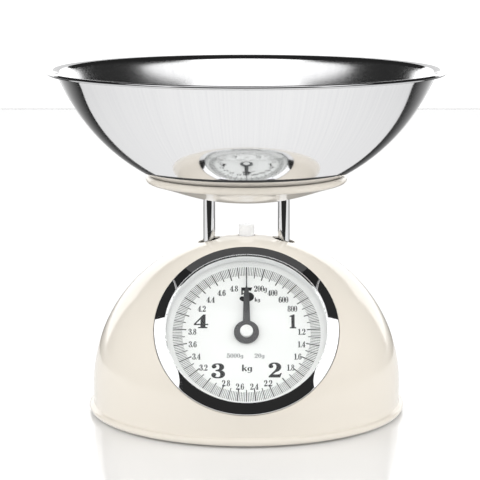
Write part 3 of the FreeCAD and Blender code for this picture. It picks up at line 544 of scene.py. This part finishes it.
def makeBezel():
    s = bezelShape
    shoulder = arc((s["outer"] - 0.35, s["edge"] - 0.35), 0.35, 0, 63, 6)
    nose = arc((s["window"] + 0.25, s["top"] - 0.25), 0.25, 72, 180, 8)
    # nearly flat, and a little fuller in the middle
    foot, head = shoulder[-1], nose[0]
    third = (foot[0] - head[0]) / 3
    slope = bezier(foot, (foot[0] - third, foot[1] + third * 0.50),
                   (head[0] + third, head[1] - third * 0.35), head, 28)
    outline = [(s["wall"], s["back"]), (s["sleeve"], s["back"]), (s["sleeve"], s["seat"])]
    outline += [(s["outer"] - 0.25, s["seat"]), (s["outer"], s["seat"] + 0.25)] + shoulder + slope[1:] + nose[1:]
    outline += [(s["window"], s["ledge"]), (s["wall"], s["ledge"])]
    return onDial(spun("bezel.ring", outline, 224, closed=True, soft=30))


def makeLens():
    b, s = bezelShape, lensShape
    reach, low, thick, rise = b["window"] - s["gap"], b["ledge"], s["thick"], s["rise"]

    def cap(radius, z):
        # the arc of a shallow dome of this radius, whose edge is at z
        ball = (radius ** 2 + rise ** 2) / (2 * rise)
        share = math.degrees(math.asin(radius / ball))
        return arc((0, z + rise - ball), ball, 90 - share, 90, 24)

    outline = [(reach, low), (reach, low + thick - 0.3)] + cap(reach - 0.3, low + thick)
    outline += cap(reach - 2.5, low)[::-1]
    return onDial(spun("lens.cover", outline, 128, closed=True, soft=30))


bezel = makeBezel()
dress(bezel, finishes["chrome"])
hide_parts("bezel")
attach(bezel, "housing")
lens = makeLens()
dress(lens, finishes["lens"])
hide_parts("lens")
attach(lens, "housing")
print("bezel and lens spun")


dialShape = {"radius": 52.3, "thick": 0.8, "ink": 0.03, "ring": 46.8}
tickSets = (  # how many, inner radius, width
    (250, 40.6, 0.33),
    (50, 39.0, 0.56),
    (25, 38.2, 0.70),
)
bigFigures = (  # figure, kilos, radius, height, width
    ("5", 0.0, 28.4, 9.6, 1.42),
    ("1", 1.0, 30.4, 9.3, 0.82),
    ("2", 2.0, 29.9, 9.8, 1.22),
    ("3", 3.0, 30.6, 9.8, 1.27),
    ("4", 4.0, 30.6, 9.2, 1.36),
)
bigWeight = 0.2
smallFigures = {"radius": 33.6, "lower": 2.2, "firstShift": 0.2, "height": 4.1, "width": 0.76, "weight": 0.045}
plainLines = {"units": (("kg", 7.0, 23.6, 2.8, 1.0), ("kg", 0.4, -24.0, 4.4, 1.2)),  # text, x, y, height, width
              "capacity": (("5000g", -7.2, -15.6, 2.9, 1.1), ("20g", 8.2, -15.6, 2.9, 1.1)), "weight": 0.07}
printShift = (0.4, -1.2)
# outlines on a unit-high body: s is a smooth point and c a corner
figures = {
    "0": ("s.32,1 s.62,.5 s.32,0 s.02,.5", "s.32,.96 s.41,.5 s.32,.04 s.23,.5"),
    "1": ("c.08,0 c.56,0 c.56,.045 c.43,.06 c.43,1 c.36,1 c.07,.9 c.07,.86 c.21,.885 c.21,.06 c.08,.045",),
    "2": ("c.03,0 c.6,0 c.68,.27 c.65,.27 s.6,.2 s.5,.175 c.2,.175 s.36,.34 s.58,.5 s.66,.72 s.56,.93 s.34,1 "
          "s.12,.94 s.03,.79 s.06,.68 s.15,.65 s.24,.72 s.22,.82 c.16,.88 s.3,.955 s.4,.9 s.44,.73 s.38,.52 "
          "s.22,.3 c.03,.06",),
    "3": ("s.03,.8 s.12,.95 s.32,1 s.54,.94 s.62,.77 s.56,.6 c.4,.525 s.58,.46 s.67,.27 s.58,.07 s.32,0 s.1,.05 "
          "s.01,.2 s.05,.31 s.14,.34 s.23,.27 s.21,.17 c.14,.11 s.3,.045 s.42,.09 s.46,.26 s.4,.44 c.22,.5 "
          "c.22,.545 s.37,.6 s.41,.77 s.37,.92 s.28,.955 c.15,.9 s.22,.85 s.23,.76 s.15,.69 s.06,.71",),
    "4": ("c.22,0 c.66,0 c.66,.045 c.56,.06 c.56,.235 c.7,.235 c.7,.29 c.56,.29 c.56,1 c.47,1 c0,.29 c0,.235 "
          "c.34,.235 c.34,.06 c.22,.045", "c.06,.29 c.34,.29 c.34,.72"),
    "5": ("c.09,1 c.57,1 c.52,.8 c.13,.8 c.13,.55 s.32,.64 s.56,.58 s.66,.34 s.56,.08 s.3,0 s.09,.05 s.01,.2 "
          "s.05,.31 s.14,.34 s.23,.27 s.21,.17 c.14,.11 s.28,.045 s.4,.1 s.44,.33 s.38,.55 s.26,.595 c.12,.5 "
          "c.09,.5",),
    "6": ("s.58,.86 s.38,1 s.12,.85 s.02,.45 s.12,.08 s.33,0 s.56,.08 s.65,.32 s.56,.56 s.38,.63 c.23,.56 "
          "s.25,.85 s.38,.955 c.48,.9 s.42,.84 s.42,.76 s.5,.71 s.58,.75", "s.33,.59 s.44,.32 s.33,.04 s.23,.32"),
    "8": ("s.33,1 s.6,.78 c.47,.545 s.65,.27 s.33,0 s.01,.27 c.19,.545 s.06,.78",
          "s.33,.96 s.43,.79 s.35,.6 s.23,.76", "s.31,.51 s.44,.27 s.33,.04 s.2,.29"),
    "g": ("s.24,.62 c.42,.55 c.42,.62 c.56,.62 c.56,-.02 s.3,-.24 s.05,-.16 c.08,-.1 s.28,-.19 s.41,-.02 c.41,.1 "
          "s.24,.02 s.03,.32", "s.28,.57 s.38,.32 s.28,.07 s.2,.32"),
    "k": ("c.03,0 c.22,0 c.22,.25 c.28,.31 c.44,0 c.64,0 c.38,.42 c.58,.62 c.44,.62 c.22,.4 c.22,1 c.03,1",),
    ".": ("s.1,.16 s.18,.08 s.1,0 s.02,.08",),
}
figureWidths = {"0": 0.66, "1": 0.6, "2": 0.72, "3": 0.7, "4": 0.72, "5": 0.7, "6": 0.68, "8": 0.68, "g": 0.62,
                "k": 0.64, ".": 0.26, " ": 0.4}


def writeFigures(curve, text, x, y, height, narrow=1.0):
    # adds the outlines of a line of figures, centred on (x, y), to one flat curve
    total = sum(figureWidths[letter] for letter in text) * height * narrow
    pen = x - total / 2
    for letter in text:
        for contour in figures.get(letter, ()):
            points = [(mark[0], *[float(v) for v in mark[1:].split(",")]) for mark in contour.split()]
            spline = curve.splines.new("BEZIER")
            spline.bezier_points.add(len(points) - 1)
            for knot, (kind, u, v) in zip(spline.bezier_points, points):
                knot.co = ((pen + u * height * narrow) * mm, (y + (v - 0.5) * height) * mm, 0)
                knot.handle_left_type = "AUTO" if kind == "s" else "VECTOR"
                knot.handle_right_type = "AUTO" if kind == "s" else "VECTOR"
            spline.use_cyclic_u = True
        pen += figureWidths[letter] * height * narrow


def printed(name, lines, inkName, weight):
    # one flat filled curve for a whole set of figures, turned into a thin layer of ink
    curve = bpy.data.curves.new(name, "CURVE")
    curve.dimensions = "2D"
    curve.fill_mode = "BOTH"
    curve.resolution_u = 5
    curve.extrude = dialShape["ink"] / 2 * mm
    curve.offset = weight * mm
    for line in lines:
        writeFigures(curve, *line)
    piece = bpy.data.objects.new(name, curve)
    scene.collection.objects.link(piece)
    pickUp(piece)
    bpy.ops.object.convert(target="MESH")
    piece = named(name)
    piece.location = (0, 0, (dialSet["face"] + dialShape["ink"] / 2 + 0.005) * mm)
    settle(piece)
    onDial(piece)
    dress(piece, finishes[inkName])
    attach(piece, "housing")
    return piece


def onScale(kilos, radius):
    turn = math.radians(72 * kilos)
    return radius * math.sin(turn) + printShift[0], radius * math.cos(turn) + printShift[1]


def makeTicks():
    bars = []
    for count, innerRadius, width in tickSets:
        letGo()
        length = dialShape["ring"] - innerRadius
        bpy.ops.mesh.primitive_plane_add(size=1, location=(0, (innerRadius + length / 2) * mm, 0))
        bar = bpy.context.object
        bar.scale = (width * mm, length * mm, 1)
        settle(bar)
        bpy.ops.object.mode_set(mode="EDIT")
        bpy.ops.mesh.select_all(action="SELECT")
        bpy.ops.mesh.extrude_region_move(TRANSFORM_OT_translate={"value": (0, 0, dialShape["ink"] * mm)})
        bpy.ops.mesh.select_all(action="SELECT")
        bpy.ops.mesh.normals_make_consistent(inside=False)
        bpy.ops.object.mode_set(mode="OBJECT")
        turner = bpy.data.objects.new("turner", None)
        scene.collection.objects.link(turner)
        turner.rotation_euler = (0, 0, 2 * math.pi / count)
        bpy.context.view_layer.update()
        addModifier(bar, "ARRAY", count=count, use_relative_offset=False, use_object_offset=True,
                    offset_object=turner)
        bpy.data.objects.remove(turner)
        bars.append(bar)
    piece = joinAll("dial.ticks", bars)
    piece.location = (0, 0, (dialSet["face"] + 0.005) * mm)
    settle(piece)
    return onDial(piece)


dialTop, dialEdge = dialSet["face"], dialShape["radius"]
face = spun("dial.face", [(0, dialTop - dialShape["thick"]), (dialEdge, dialTop - dialShape["thick"]),
                          (dialEdge, dialTop - 0.1), (dialEdge - 0.1, dialTop), (dialEdge * 0.6, dialTop),
                          (0, dialTop)], 128)
onDial(face)
dress(face, finishes["dialPaint"])
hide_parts("dial_plate")
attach(face, "housing")

ticks = makeTicks()
dress(ticks, finishes["blackInk"])
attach(ticks, "housing")

bigLines = [(text, *onScale(kilos, radius), height, width) for text, kilos, radius, height, width in bigFigures]
printed("dial.kilos", bigLines, "blackInk", bigWeight)
smallLines = []
for step in range(1, 25):
    if step % 5 == 0:
        continue
    kilos = step * 0.2
    text = "200g" if step == 1 else f"{step * 200}" if step < 5 else f"{kilos:.1f}"
    low = (1 - math.cos(math.radians(72 * kilos))) / 2  # 0 at the top of the dial, 1 at the bottom
    x, y = onScale(kilos, smallFigures["radius"] + smallFigures["lower"] * low)
    if step == 1:
        x += smallFigures["firstShift"]
    smallLines.append((text, x, y, smallFigures["height"], smallFigures["width"]))
smallLines += plainLines["units"]
printed("dial.grams", smallLines, "blackInk", smallFigures["weight"])
printed("dial.capacity", plainLines["capacity"], "greyInk", plainLines["weight"])
print("dial printed")


pointerShape = {"back": 78.7, "thick": 1.1, "hub": 7.9, "cap": 4.1, "capRise": 2.2,
                "arm": ((5.0, 4.8), (26.5, 3.5), (28.5, 2.9), (32.0, 0.75), (43.5, 0.42))}


def makePointer():
    s = pointerShape
    letGo()
    bpy.ops.mesh.primitive_cylinder_add(vertices=96, radius=s["hub"] * mm, depth=s["thick"] * mm, location=(0, 0, 0))
    hub = settle(bpy.context.object)
    start, width = s["arm"][0]
    letGo()
    bpy.ops.mesh.primitive_plane_add(size=1, location=(0, start * mm, 0))
    arm = bpy.context.object
    arm.scale = (width * mm, 0.2 * mm, 1)
    settle(arm)
    bpy.ops.object.mode_set(mode="EDIT")
    bpy.ops.mesh.select_all(action="DESELECT")
    bpy.ops.object.mode_set(mode="OBJECT")
    for edge in arm.data.edges:
        edge.select = all(arm.data.vertices[v].co.y > start * mm for v in edge.vertices)
    bpy.ops.object.mode_set(mode="EDIT")
    here = start + 0.1
    for reach, nextWidth in s["arm"][1:]:
        bpy.ops.mesh.extrude_region_move(TRANSFORM_OT_translate={"value": (0, (reach - here) * mm, 0)})
        bpy.ops.transform.resize(value=(nextWidth / width, 1, 1), center_override=(0, reach * mm, 0))
        here, width = reach, nextWidth
    bpy.ops.mesh.select_all(action="SELECT")
    bpy.ops.mesh.extrude_region_move(TRANSFORM_OT_translate={"value": (0, 0, s["thick"] * mm)})
    bpy.ops.mesh.select_all(action="SELECT")
    bpy.ops.transform.translate(value=(0, 0, -s["thick"] / 2 * mm))
    bpy.ops.mesh.normals_make_consistent(inside=False)
    bpy.ops.object.mode_set(mode="OBJECT")
    cutAway(hub, arm, "UNION")
    piece = pickUp(hub)
    piece.name = piece.data.name = "pointer.needle"
    addModifier(piece, "BEVEL", width=0.14 * mm, segments=2, limit_method="ANGLE", angle_limit=math.radians(40))
    piece.location = (0, 0, (s["back"] + s["thick"] / 2) * mm)
    settle(piece)
    return onDial(softenEdges(piece, 30))


needle = makePointer()
dress(needle, finishes["needle"])
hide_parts("pointer")
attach(needle, "pointer")

capFoot = pointerShape["back"] + pointerShape["thick"] + 0.01
capTop = capFoot + pointerShape["capRise"] - 0.01
capEdge = arc((pointerShape["cap"] - 0.6, capTop - 0.6), 0.6, 0, 90, 8)
capOutline = [(0, capFoot), (pointerShape["cap"] - 0.15, capFoot), (pointerShape["cap"], capFoot + 0.15)] + capEdge
capOutline += [(1.5, capTop), (1.35, capTop - 0.12), (0, capTop - 0.12)]
needleCap = onDial(spun("pointer.cap", capOutline, 96))
dress(needleCap, finishes["white"])
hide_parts("pointer_cap")
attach(needleCap, "pointer")
print("pointer made")


postShape = {"x": 24.5, "radius": 3.9, "bottom": 89.5, "top": 142.5, "chamfer": 0.35}
for side, word in ((-1, "left"), (1, "right")):
    p = postShape
    r, c = p["radius"], p["chamfer"]
    post = spun(f"{word}.post", [(0, p["bottom"]), (r - c, p["bottom"]), (r, p["bottom"] + c), (r, 110), (r, 125),
                                 (r, p["top"] - c), (r - c, p["top"]), (0, p["top"])], 96, soft=30)
    post.location = (side * p["x"] * mm, 0, 0)
    settle(post)
    dress(post, finishes["chrome"])
    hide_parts(f"{word}_post")
    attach(post, "platform")

knobShape = {"radius": 5.1, "bottom": 111.0, "top": 124.0, "edge": 0.8, "flutes": 24, "flute": 0.42}


def makeKnob():
    s = knobShape
    edge = arc((s["radius"] - s["edge"], s["top"] - s["edge"]), s["edge"], 0, 90, 8)
    piece = spun("zero.knob", [(0, s["bottom"]), (s["radius"], s["bottom"])] + evenly((s["radius"], s["bottom"]),
                 edge[0], 3) + edge + [(2.2, s["top"]), (2.0, s["top"] - 0.15), (0, s["top"] - 0.15)], 120)
    cutter = rodCutter(s["flute"], s["bottom"] - 1, s["top"] - 1.2, s["radius"] + 0.3, 0, 16)
    turner = bpy.data.objects.new("turner", None)
    scene.collection.objects.link(turner)
    turner.rotation_euler = (0, 0, 2 * math.pi / s["flutes"])
    bpy.context.view_layer.update()
    addModifier(cutter, "ARRAY", count=s["flutes"], use_relative_offset=False, use_object_offset=True,
                offset_object=turner)
    bpy.data.objects.remove(turner)
    cutAway(piece, cutter)
    return softenEdges(piece, 30)


knob = makeKnob()
dress(knob, finishes["white"])
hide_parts("zero_knob")
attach(knob, "zero_knob")
print("posts and knob made")


carried = {
    "basePlastic": ("base_plate",),
    "carrierPlastic": ("dial_carrier",),
    "rubber": ("foot_front_left", "foot_front_right", "foot_rear_left", "foot_rear_right"),
    "nylon": ("rack_guide",),
    "brass": ("front_bush", "rear_bush", "pinion_shaft", "rack", "rack_rivet", "screw_bush", "zero_screw",
              "hanger_nut"),
    "zinc": ("spring_hanger",),
    "sheetSteel": ("movement_bracket", "dial_stand", "frame", "upper_link", "lower_link", "carriage",
                   "spring_anchor", "rack_arm"),
    "brightSteel": ("upper_pivot_rod", "lower_pivot_rod", "carriage_pins"),
    "springSteel": ("left_spring", "right_spring", "pivot_clips", "zero_clip"),
    "screwSteel": ("base_screws", "bezel_screws", "carrier_screws", "stand_screws", "frame_screws",
                   "tray_screws", "post_screws"),
}
for finishName, nodeNames in carried.items():
    for nodeName in nodeNames:
        dress(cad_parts[nodeName], finishes[finishName])
print("carried pieces dressed")


studioSet = {"worldLight": 0.85, "floorSize": 60, "middle": (0, 0, 0.11), "roomRadius": 12, "roomLight": 0.025,
             "bounceRadius": 0.064, "bounceZ": 0.139, "bounceLight": 1.1}


def plainGlow(name, strength):
    f = Finish(name)
    return f.done(f.node("ShaderNodeEmission", {}, {"Color": colour(1, 1, 1), "Strength": strength}, "Emission"))


def card(name, width, height, place, lookAt, strength):
    # a white card that only shows in gloss and chrome
    letGo()
    bpy.ops.mesh.primitive_plane_add(size=1, location=place)
    piece = named(name)
    piece.scale = (width, height, 1)
    piece.rotation_euler = (Vector(lookAt) - Vector(place)).to_track_quat("Z", "Y").to_euler()
    dress(piece, plainGlow(name, strength))
    onlyInGloss(piece)
    return piece


def onlyInGloss(piece):
    piece.visible_camera = False
    piece.visible_diffuse = False
    piece.visible_shadow = False
    piece.visible_transmission = False


world = bpy.data.worlds.new("studio")
scene.world = world
world.use_nodes = True
world.node_tree.nodes["Background"].inputs["Color"].default_value = colour(1.0, 1.0, 1.0)
world.node_tree.nodes["Background"].inputs["Strength"].default_value = studioSet["worldLight"]
world.cycles_visibility.glossy = False


def paleFloor():
    # a pale board with a faint even shine
    look = {"base": colour(0.79, 0.79, 0.79), "shine": 0.3}
    f = Finish("paleFloor")
    grain = f.noise(40, 2)
    matt = f.node("ShaderNodeBsdfDiffuse", {}, {"Color": look["base"]}, "BSDF")
    shine = f.skin(Base_Color=colour(1, 1, 1), Metallic=1.0, Roughness=f.between(grain, 0.3, 0.8, 0.05, 0.07))
    return f.done(f.node("ShaderNodeMixShader", {}, {0: look["shine"], 1: matt, 2: shine}, "Shader"))


letGo()
bpy.ops.mesh.primitive_plane_add(size=studioSet["floorSize"], location=(0, 0, 0))
floor = named("floor")
dress(floor, paleFloor())
floor.visible_glossy = False


def tableReflectionGlow():
    look = {"middleY": -0.3, "near": 0.15, "far": 0.7, "light": 1.02, "dim": 0.84}
    f = Finish("tableReflectionGlow")
    flat = f.node("ShaderNodeVectorMath", {"operation": "SUBTRACT"}, {0: f.place(), 1: (0, look["middleY"], 0)},
                  "Vector")
    reach = f.node("ShaderNodeVectorMath", {"operation": "LENGTH"}, {0: flat}, "Value")
    # painted light: a glowing card for the table, bright around a point in front of the scale and dimmer further out
    return f.glow(f.between(reach, look["near"], look["far"], look["light"], look["dim"]))


# what gloss and chrome see of the table, as glowing cards: painted light, white in front, and a painted dark
# reflection fading up from black behind the scale
letGo()
bpy.ops.mesh.primitive_plane_add(size=1, location=(0, -0.16, 0.0002))
tableTop = named("table.glowCard")
tableTop.scale = (2.4, 0.85, 1)
settle(tableTop)
dress(tableTop, tableReflectionGlow())
onlyInGloss(tableTop)


def rearReflectionGlow():
    look = {"near": 0.265, "far": 1.6, "dark": 0.012, "light": 1.1}
    f = Finish("rearReflectionGlow")
    depth = f.node("ShaderNodeSeparateXYZ", {}, {"Vector": f.place()}, "Y")
    # painted reflection: a glowing card, near black just behind the scale and brightening further back
    return f.glow(f.between(depth, look["near"], look["far"], look["dark"], look["light"]))


letGo()
bpy.ops.mesh.primitive_plane_add(size=1, location=(0, 0.9325, 0.0002))
rear = named("rear.glowCard")
rear.scale = (3.2, 1.335, 1)
settle(rear)
dress(rear, rearReflectionGlow())
onlyInGloss(rear)


def around(azimuth, elevation, distance):
    # azimuth 0 is in front, and grows to the right
    a, e = math.radians(azimuth), math.radians(elevation)
    x, y, z = studioSet["middle"]
    flat = distance * math.cos(e)
    return (x + flat * math.sin(a), y - flat * math.cos(a), z + distance * math.sin(e))


def sideBox(name, side):
    # a tall box with slanted ends and round corners, leaning back along the slope of the bezel
    look = {"centre": (0.639, -0.431, 0.637), "across": (0.765, 0.322, -0.557), "distance": 1.6,
            "corners": ((-0.36, -0.10), (0.40, -1.0), (0.40, 0.58), (-0.36, 0.30)), "round": 0.1, "strength": 1.4}
    piece = card(name, 1, 1, (0, 0, 0), (0, 0, 1), look["strength"])
    for vertex in piece.data.vertices:
        near = [c for c in look["corners"] if (c[0] > 0) == (vertex.co.x > 0) and (c[1] > 0) == (vertex.co.y > 0)][0]
        vertex.co = (near[0] * side, near[1], 0)
    pickUp(piece)
    bpy.ops.object.mode_set(mode="EDIT")
    bpy.ops.mesh.select_all(action="SELECT")
    bpy.ops.mesh.bevel(offset=look["round"], segments=8, affect="VERTICES")
    bpy.ops.object.mode_set(mode="OBJECT")
    flip = Vector((side, 1, 1))
    out = (Vector(look["centre"]) * flip).normalized()
    across = Vector(look["across"]) * flip
    across = (across - out * across.dot(out)).normalized() * side
    piece.rotation_euler = Matrix((across, out.cross(across), out)).transposed().to_euler()
    piece.location = Vector((0, -0.035, 0.07)) + out * look["distance"]


def topBox():
    # bright in the middle and dimmer towards its ends
    look = {"bright": 1.6, "edge": 0.4, "half": 0.74, "end": 0.90, "fade": 1.05}
    piece = card("top.softbox", 2.2, 0.95, around(0, 60, 1.6), studioSet["middle"], 1.0)
    pickUp(piece)
    bpy.ops.object.transform_apply(location=False, rotation=False, scale=True)
    f = Finish("topSoftbox")
    side = f.sum("ABSOLUTE", f.node("ShaderNodeSeparateXYZ", {}, {"Vector": f.place()}, "X"))
    inner = f.between(side, look["half"], look["end"], look["bright"] - look["edge"], 0.0)
    outer = f.between(side, look["end"], look["fade"], look["edge"], 0.0)
    dress(piece, f.glow(inner + outer, False))


sideBox("right.softbox", 1)
sideBox("left.softbox", -1)
topBox()
card("rear.sweep", 3.6, 1.0, (0, 2.0, 0.5), (0, 0, 0.5), 1.7)
# a dimmer panel before it lets the flared rim of the bowl stand out from the white
card("rear.panel", 0.46, 0.65, (0, 1.98, 0.675), (0, 0, 0.675), 0.85)

# the white backdrop is for the eye only
backdrop = card("backdrop", 12.0, 6.0, (0, 2.01, 3.0), (0, 0, 3.0), 1.2)
backdrop.visible_camera = True
backdrop.visible_glossy = False


def shadeSheetUnderTray():
    # a dark sheet close under the tray and the bowl, seen only from below, keeps the top of the bezel dark: its glow
    # is painted shade standing in for the shaded undersides
    look = {"gap": 1.2, "drop": 0.8, "trayShade": 0.085, "bowlShade": 0.02, "edge": 0.067,
            "under": [(46, 145.4), (62.5, 150.4)], "side": [(67.2, 153.0), (67.5, 157.0)], "wallStart": -59}
    low = trayShape["floor"] - look["drop"]
    wallReach = bowlShape["radius"] + look["gap"]
    wall = arc(bowlShape["centre"], wallReach, look["wallStart"], wallAngle(bowlShape["wallTop"] + 3, wallReach), 24)
    piece = spun("bowl.shadeSheet", [(0, low), (trayShape["flat"], low)] + look["under"] + look["side"] + wall, 96)
    f = Finish("shadeSheetUnderTray")
    flat = f.node("ShaderNodeVectorMath", {"operation": "MULTIPLY"}, {0: f.place(), 1: (1, 1, 0)}, "Vector")
    reach = f.node("ShaderNodeVectorMath", {"operation": "LENGTH"}, {0: flat}, "Value")
    # painted shade: the glow is dim under the tray and dimmer still under the bowl
    dress(piece, f.glow(f.between(reach, look["edge"], look["edge"] + 0.001, look["trayShade"], look["bowlShade"])))
    # an open sheet has no inside, so its front is turned down and out by hand
    if sum(face.normal.z * face.area for face in piece.data.polygons) > 0:
        piece.data.flip_normals()
    onlyInGloss(piece)


shadeSheetUnderTray()

# a bright disc under the tray lights the top of the dome, which the bowl would shade
letGo()
bpy.ops.mesh.primitive_circle_add(vertices=64, radius=studioSet["bounceRadius"], fill_type="NGON",
                                  location=(0, 0, studioSet["bounceZ"]))
bounce = named("tray.bounce")
dress(bounce, plainGlow("trayBounce", studioSet["bounceLight"]))
onlyInGloss(bounce)
bounce.visible_glossy = False
bounce.visible_diffuse = True

lamps = (  # name, place, size, power
    ("front.fill", around(0, 26, 1.6), 0.8, 6.3),
    ("left.fill", around(-80, 20, 1.3), 0.7, 6.0),
    ("right.fill", around(80, 20, 1.3), 0.7, 6.0),
)
for name, place, size, power in lamps:
    lightData = bpy.data.lights.new(name, "AREA")
    lightData.size = size
    lightData.energy = power
    light = bpy.data.objects.new(name, lightData)
    scene.collection.objects.link(light)
    light.location = place
    light.rotation_euler = (Vector(studioSet["middle"]) - Vector(place)).to_track_quat("-Z", "Y").to_euler()
    light.visible_glossy = False

# the dark room behind the lights
letGo()
bpy.ops.mesh.primitive_uv_sphere_add(segments=32, ring_count=16, radius=studioSet["roomRadius"], location=(0, 0, 0))
room = named("dark.room")
dress(room, plainGlow("darkRoom", studioSet["roomLight"]))
onlyInGloss(room)
print("studio lit")
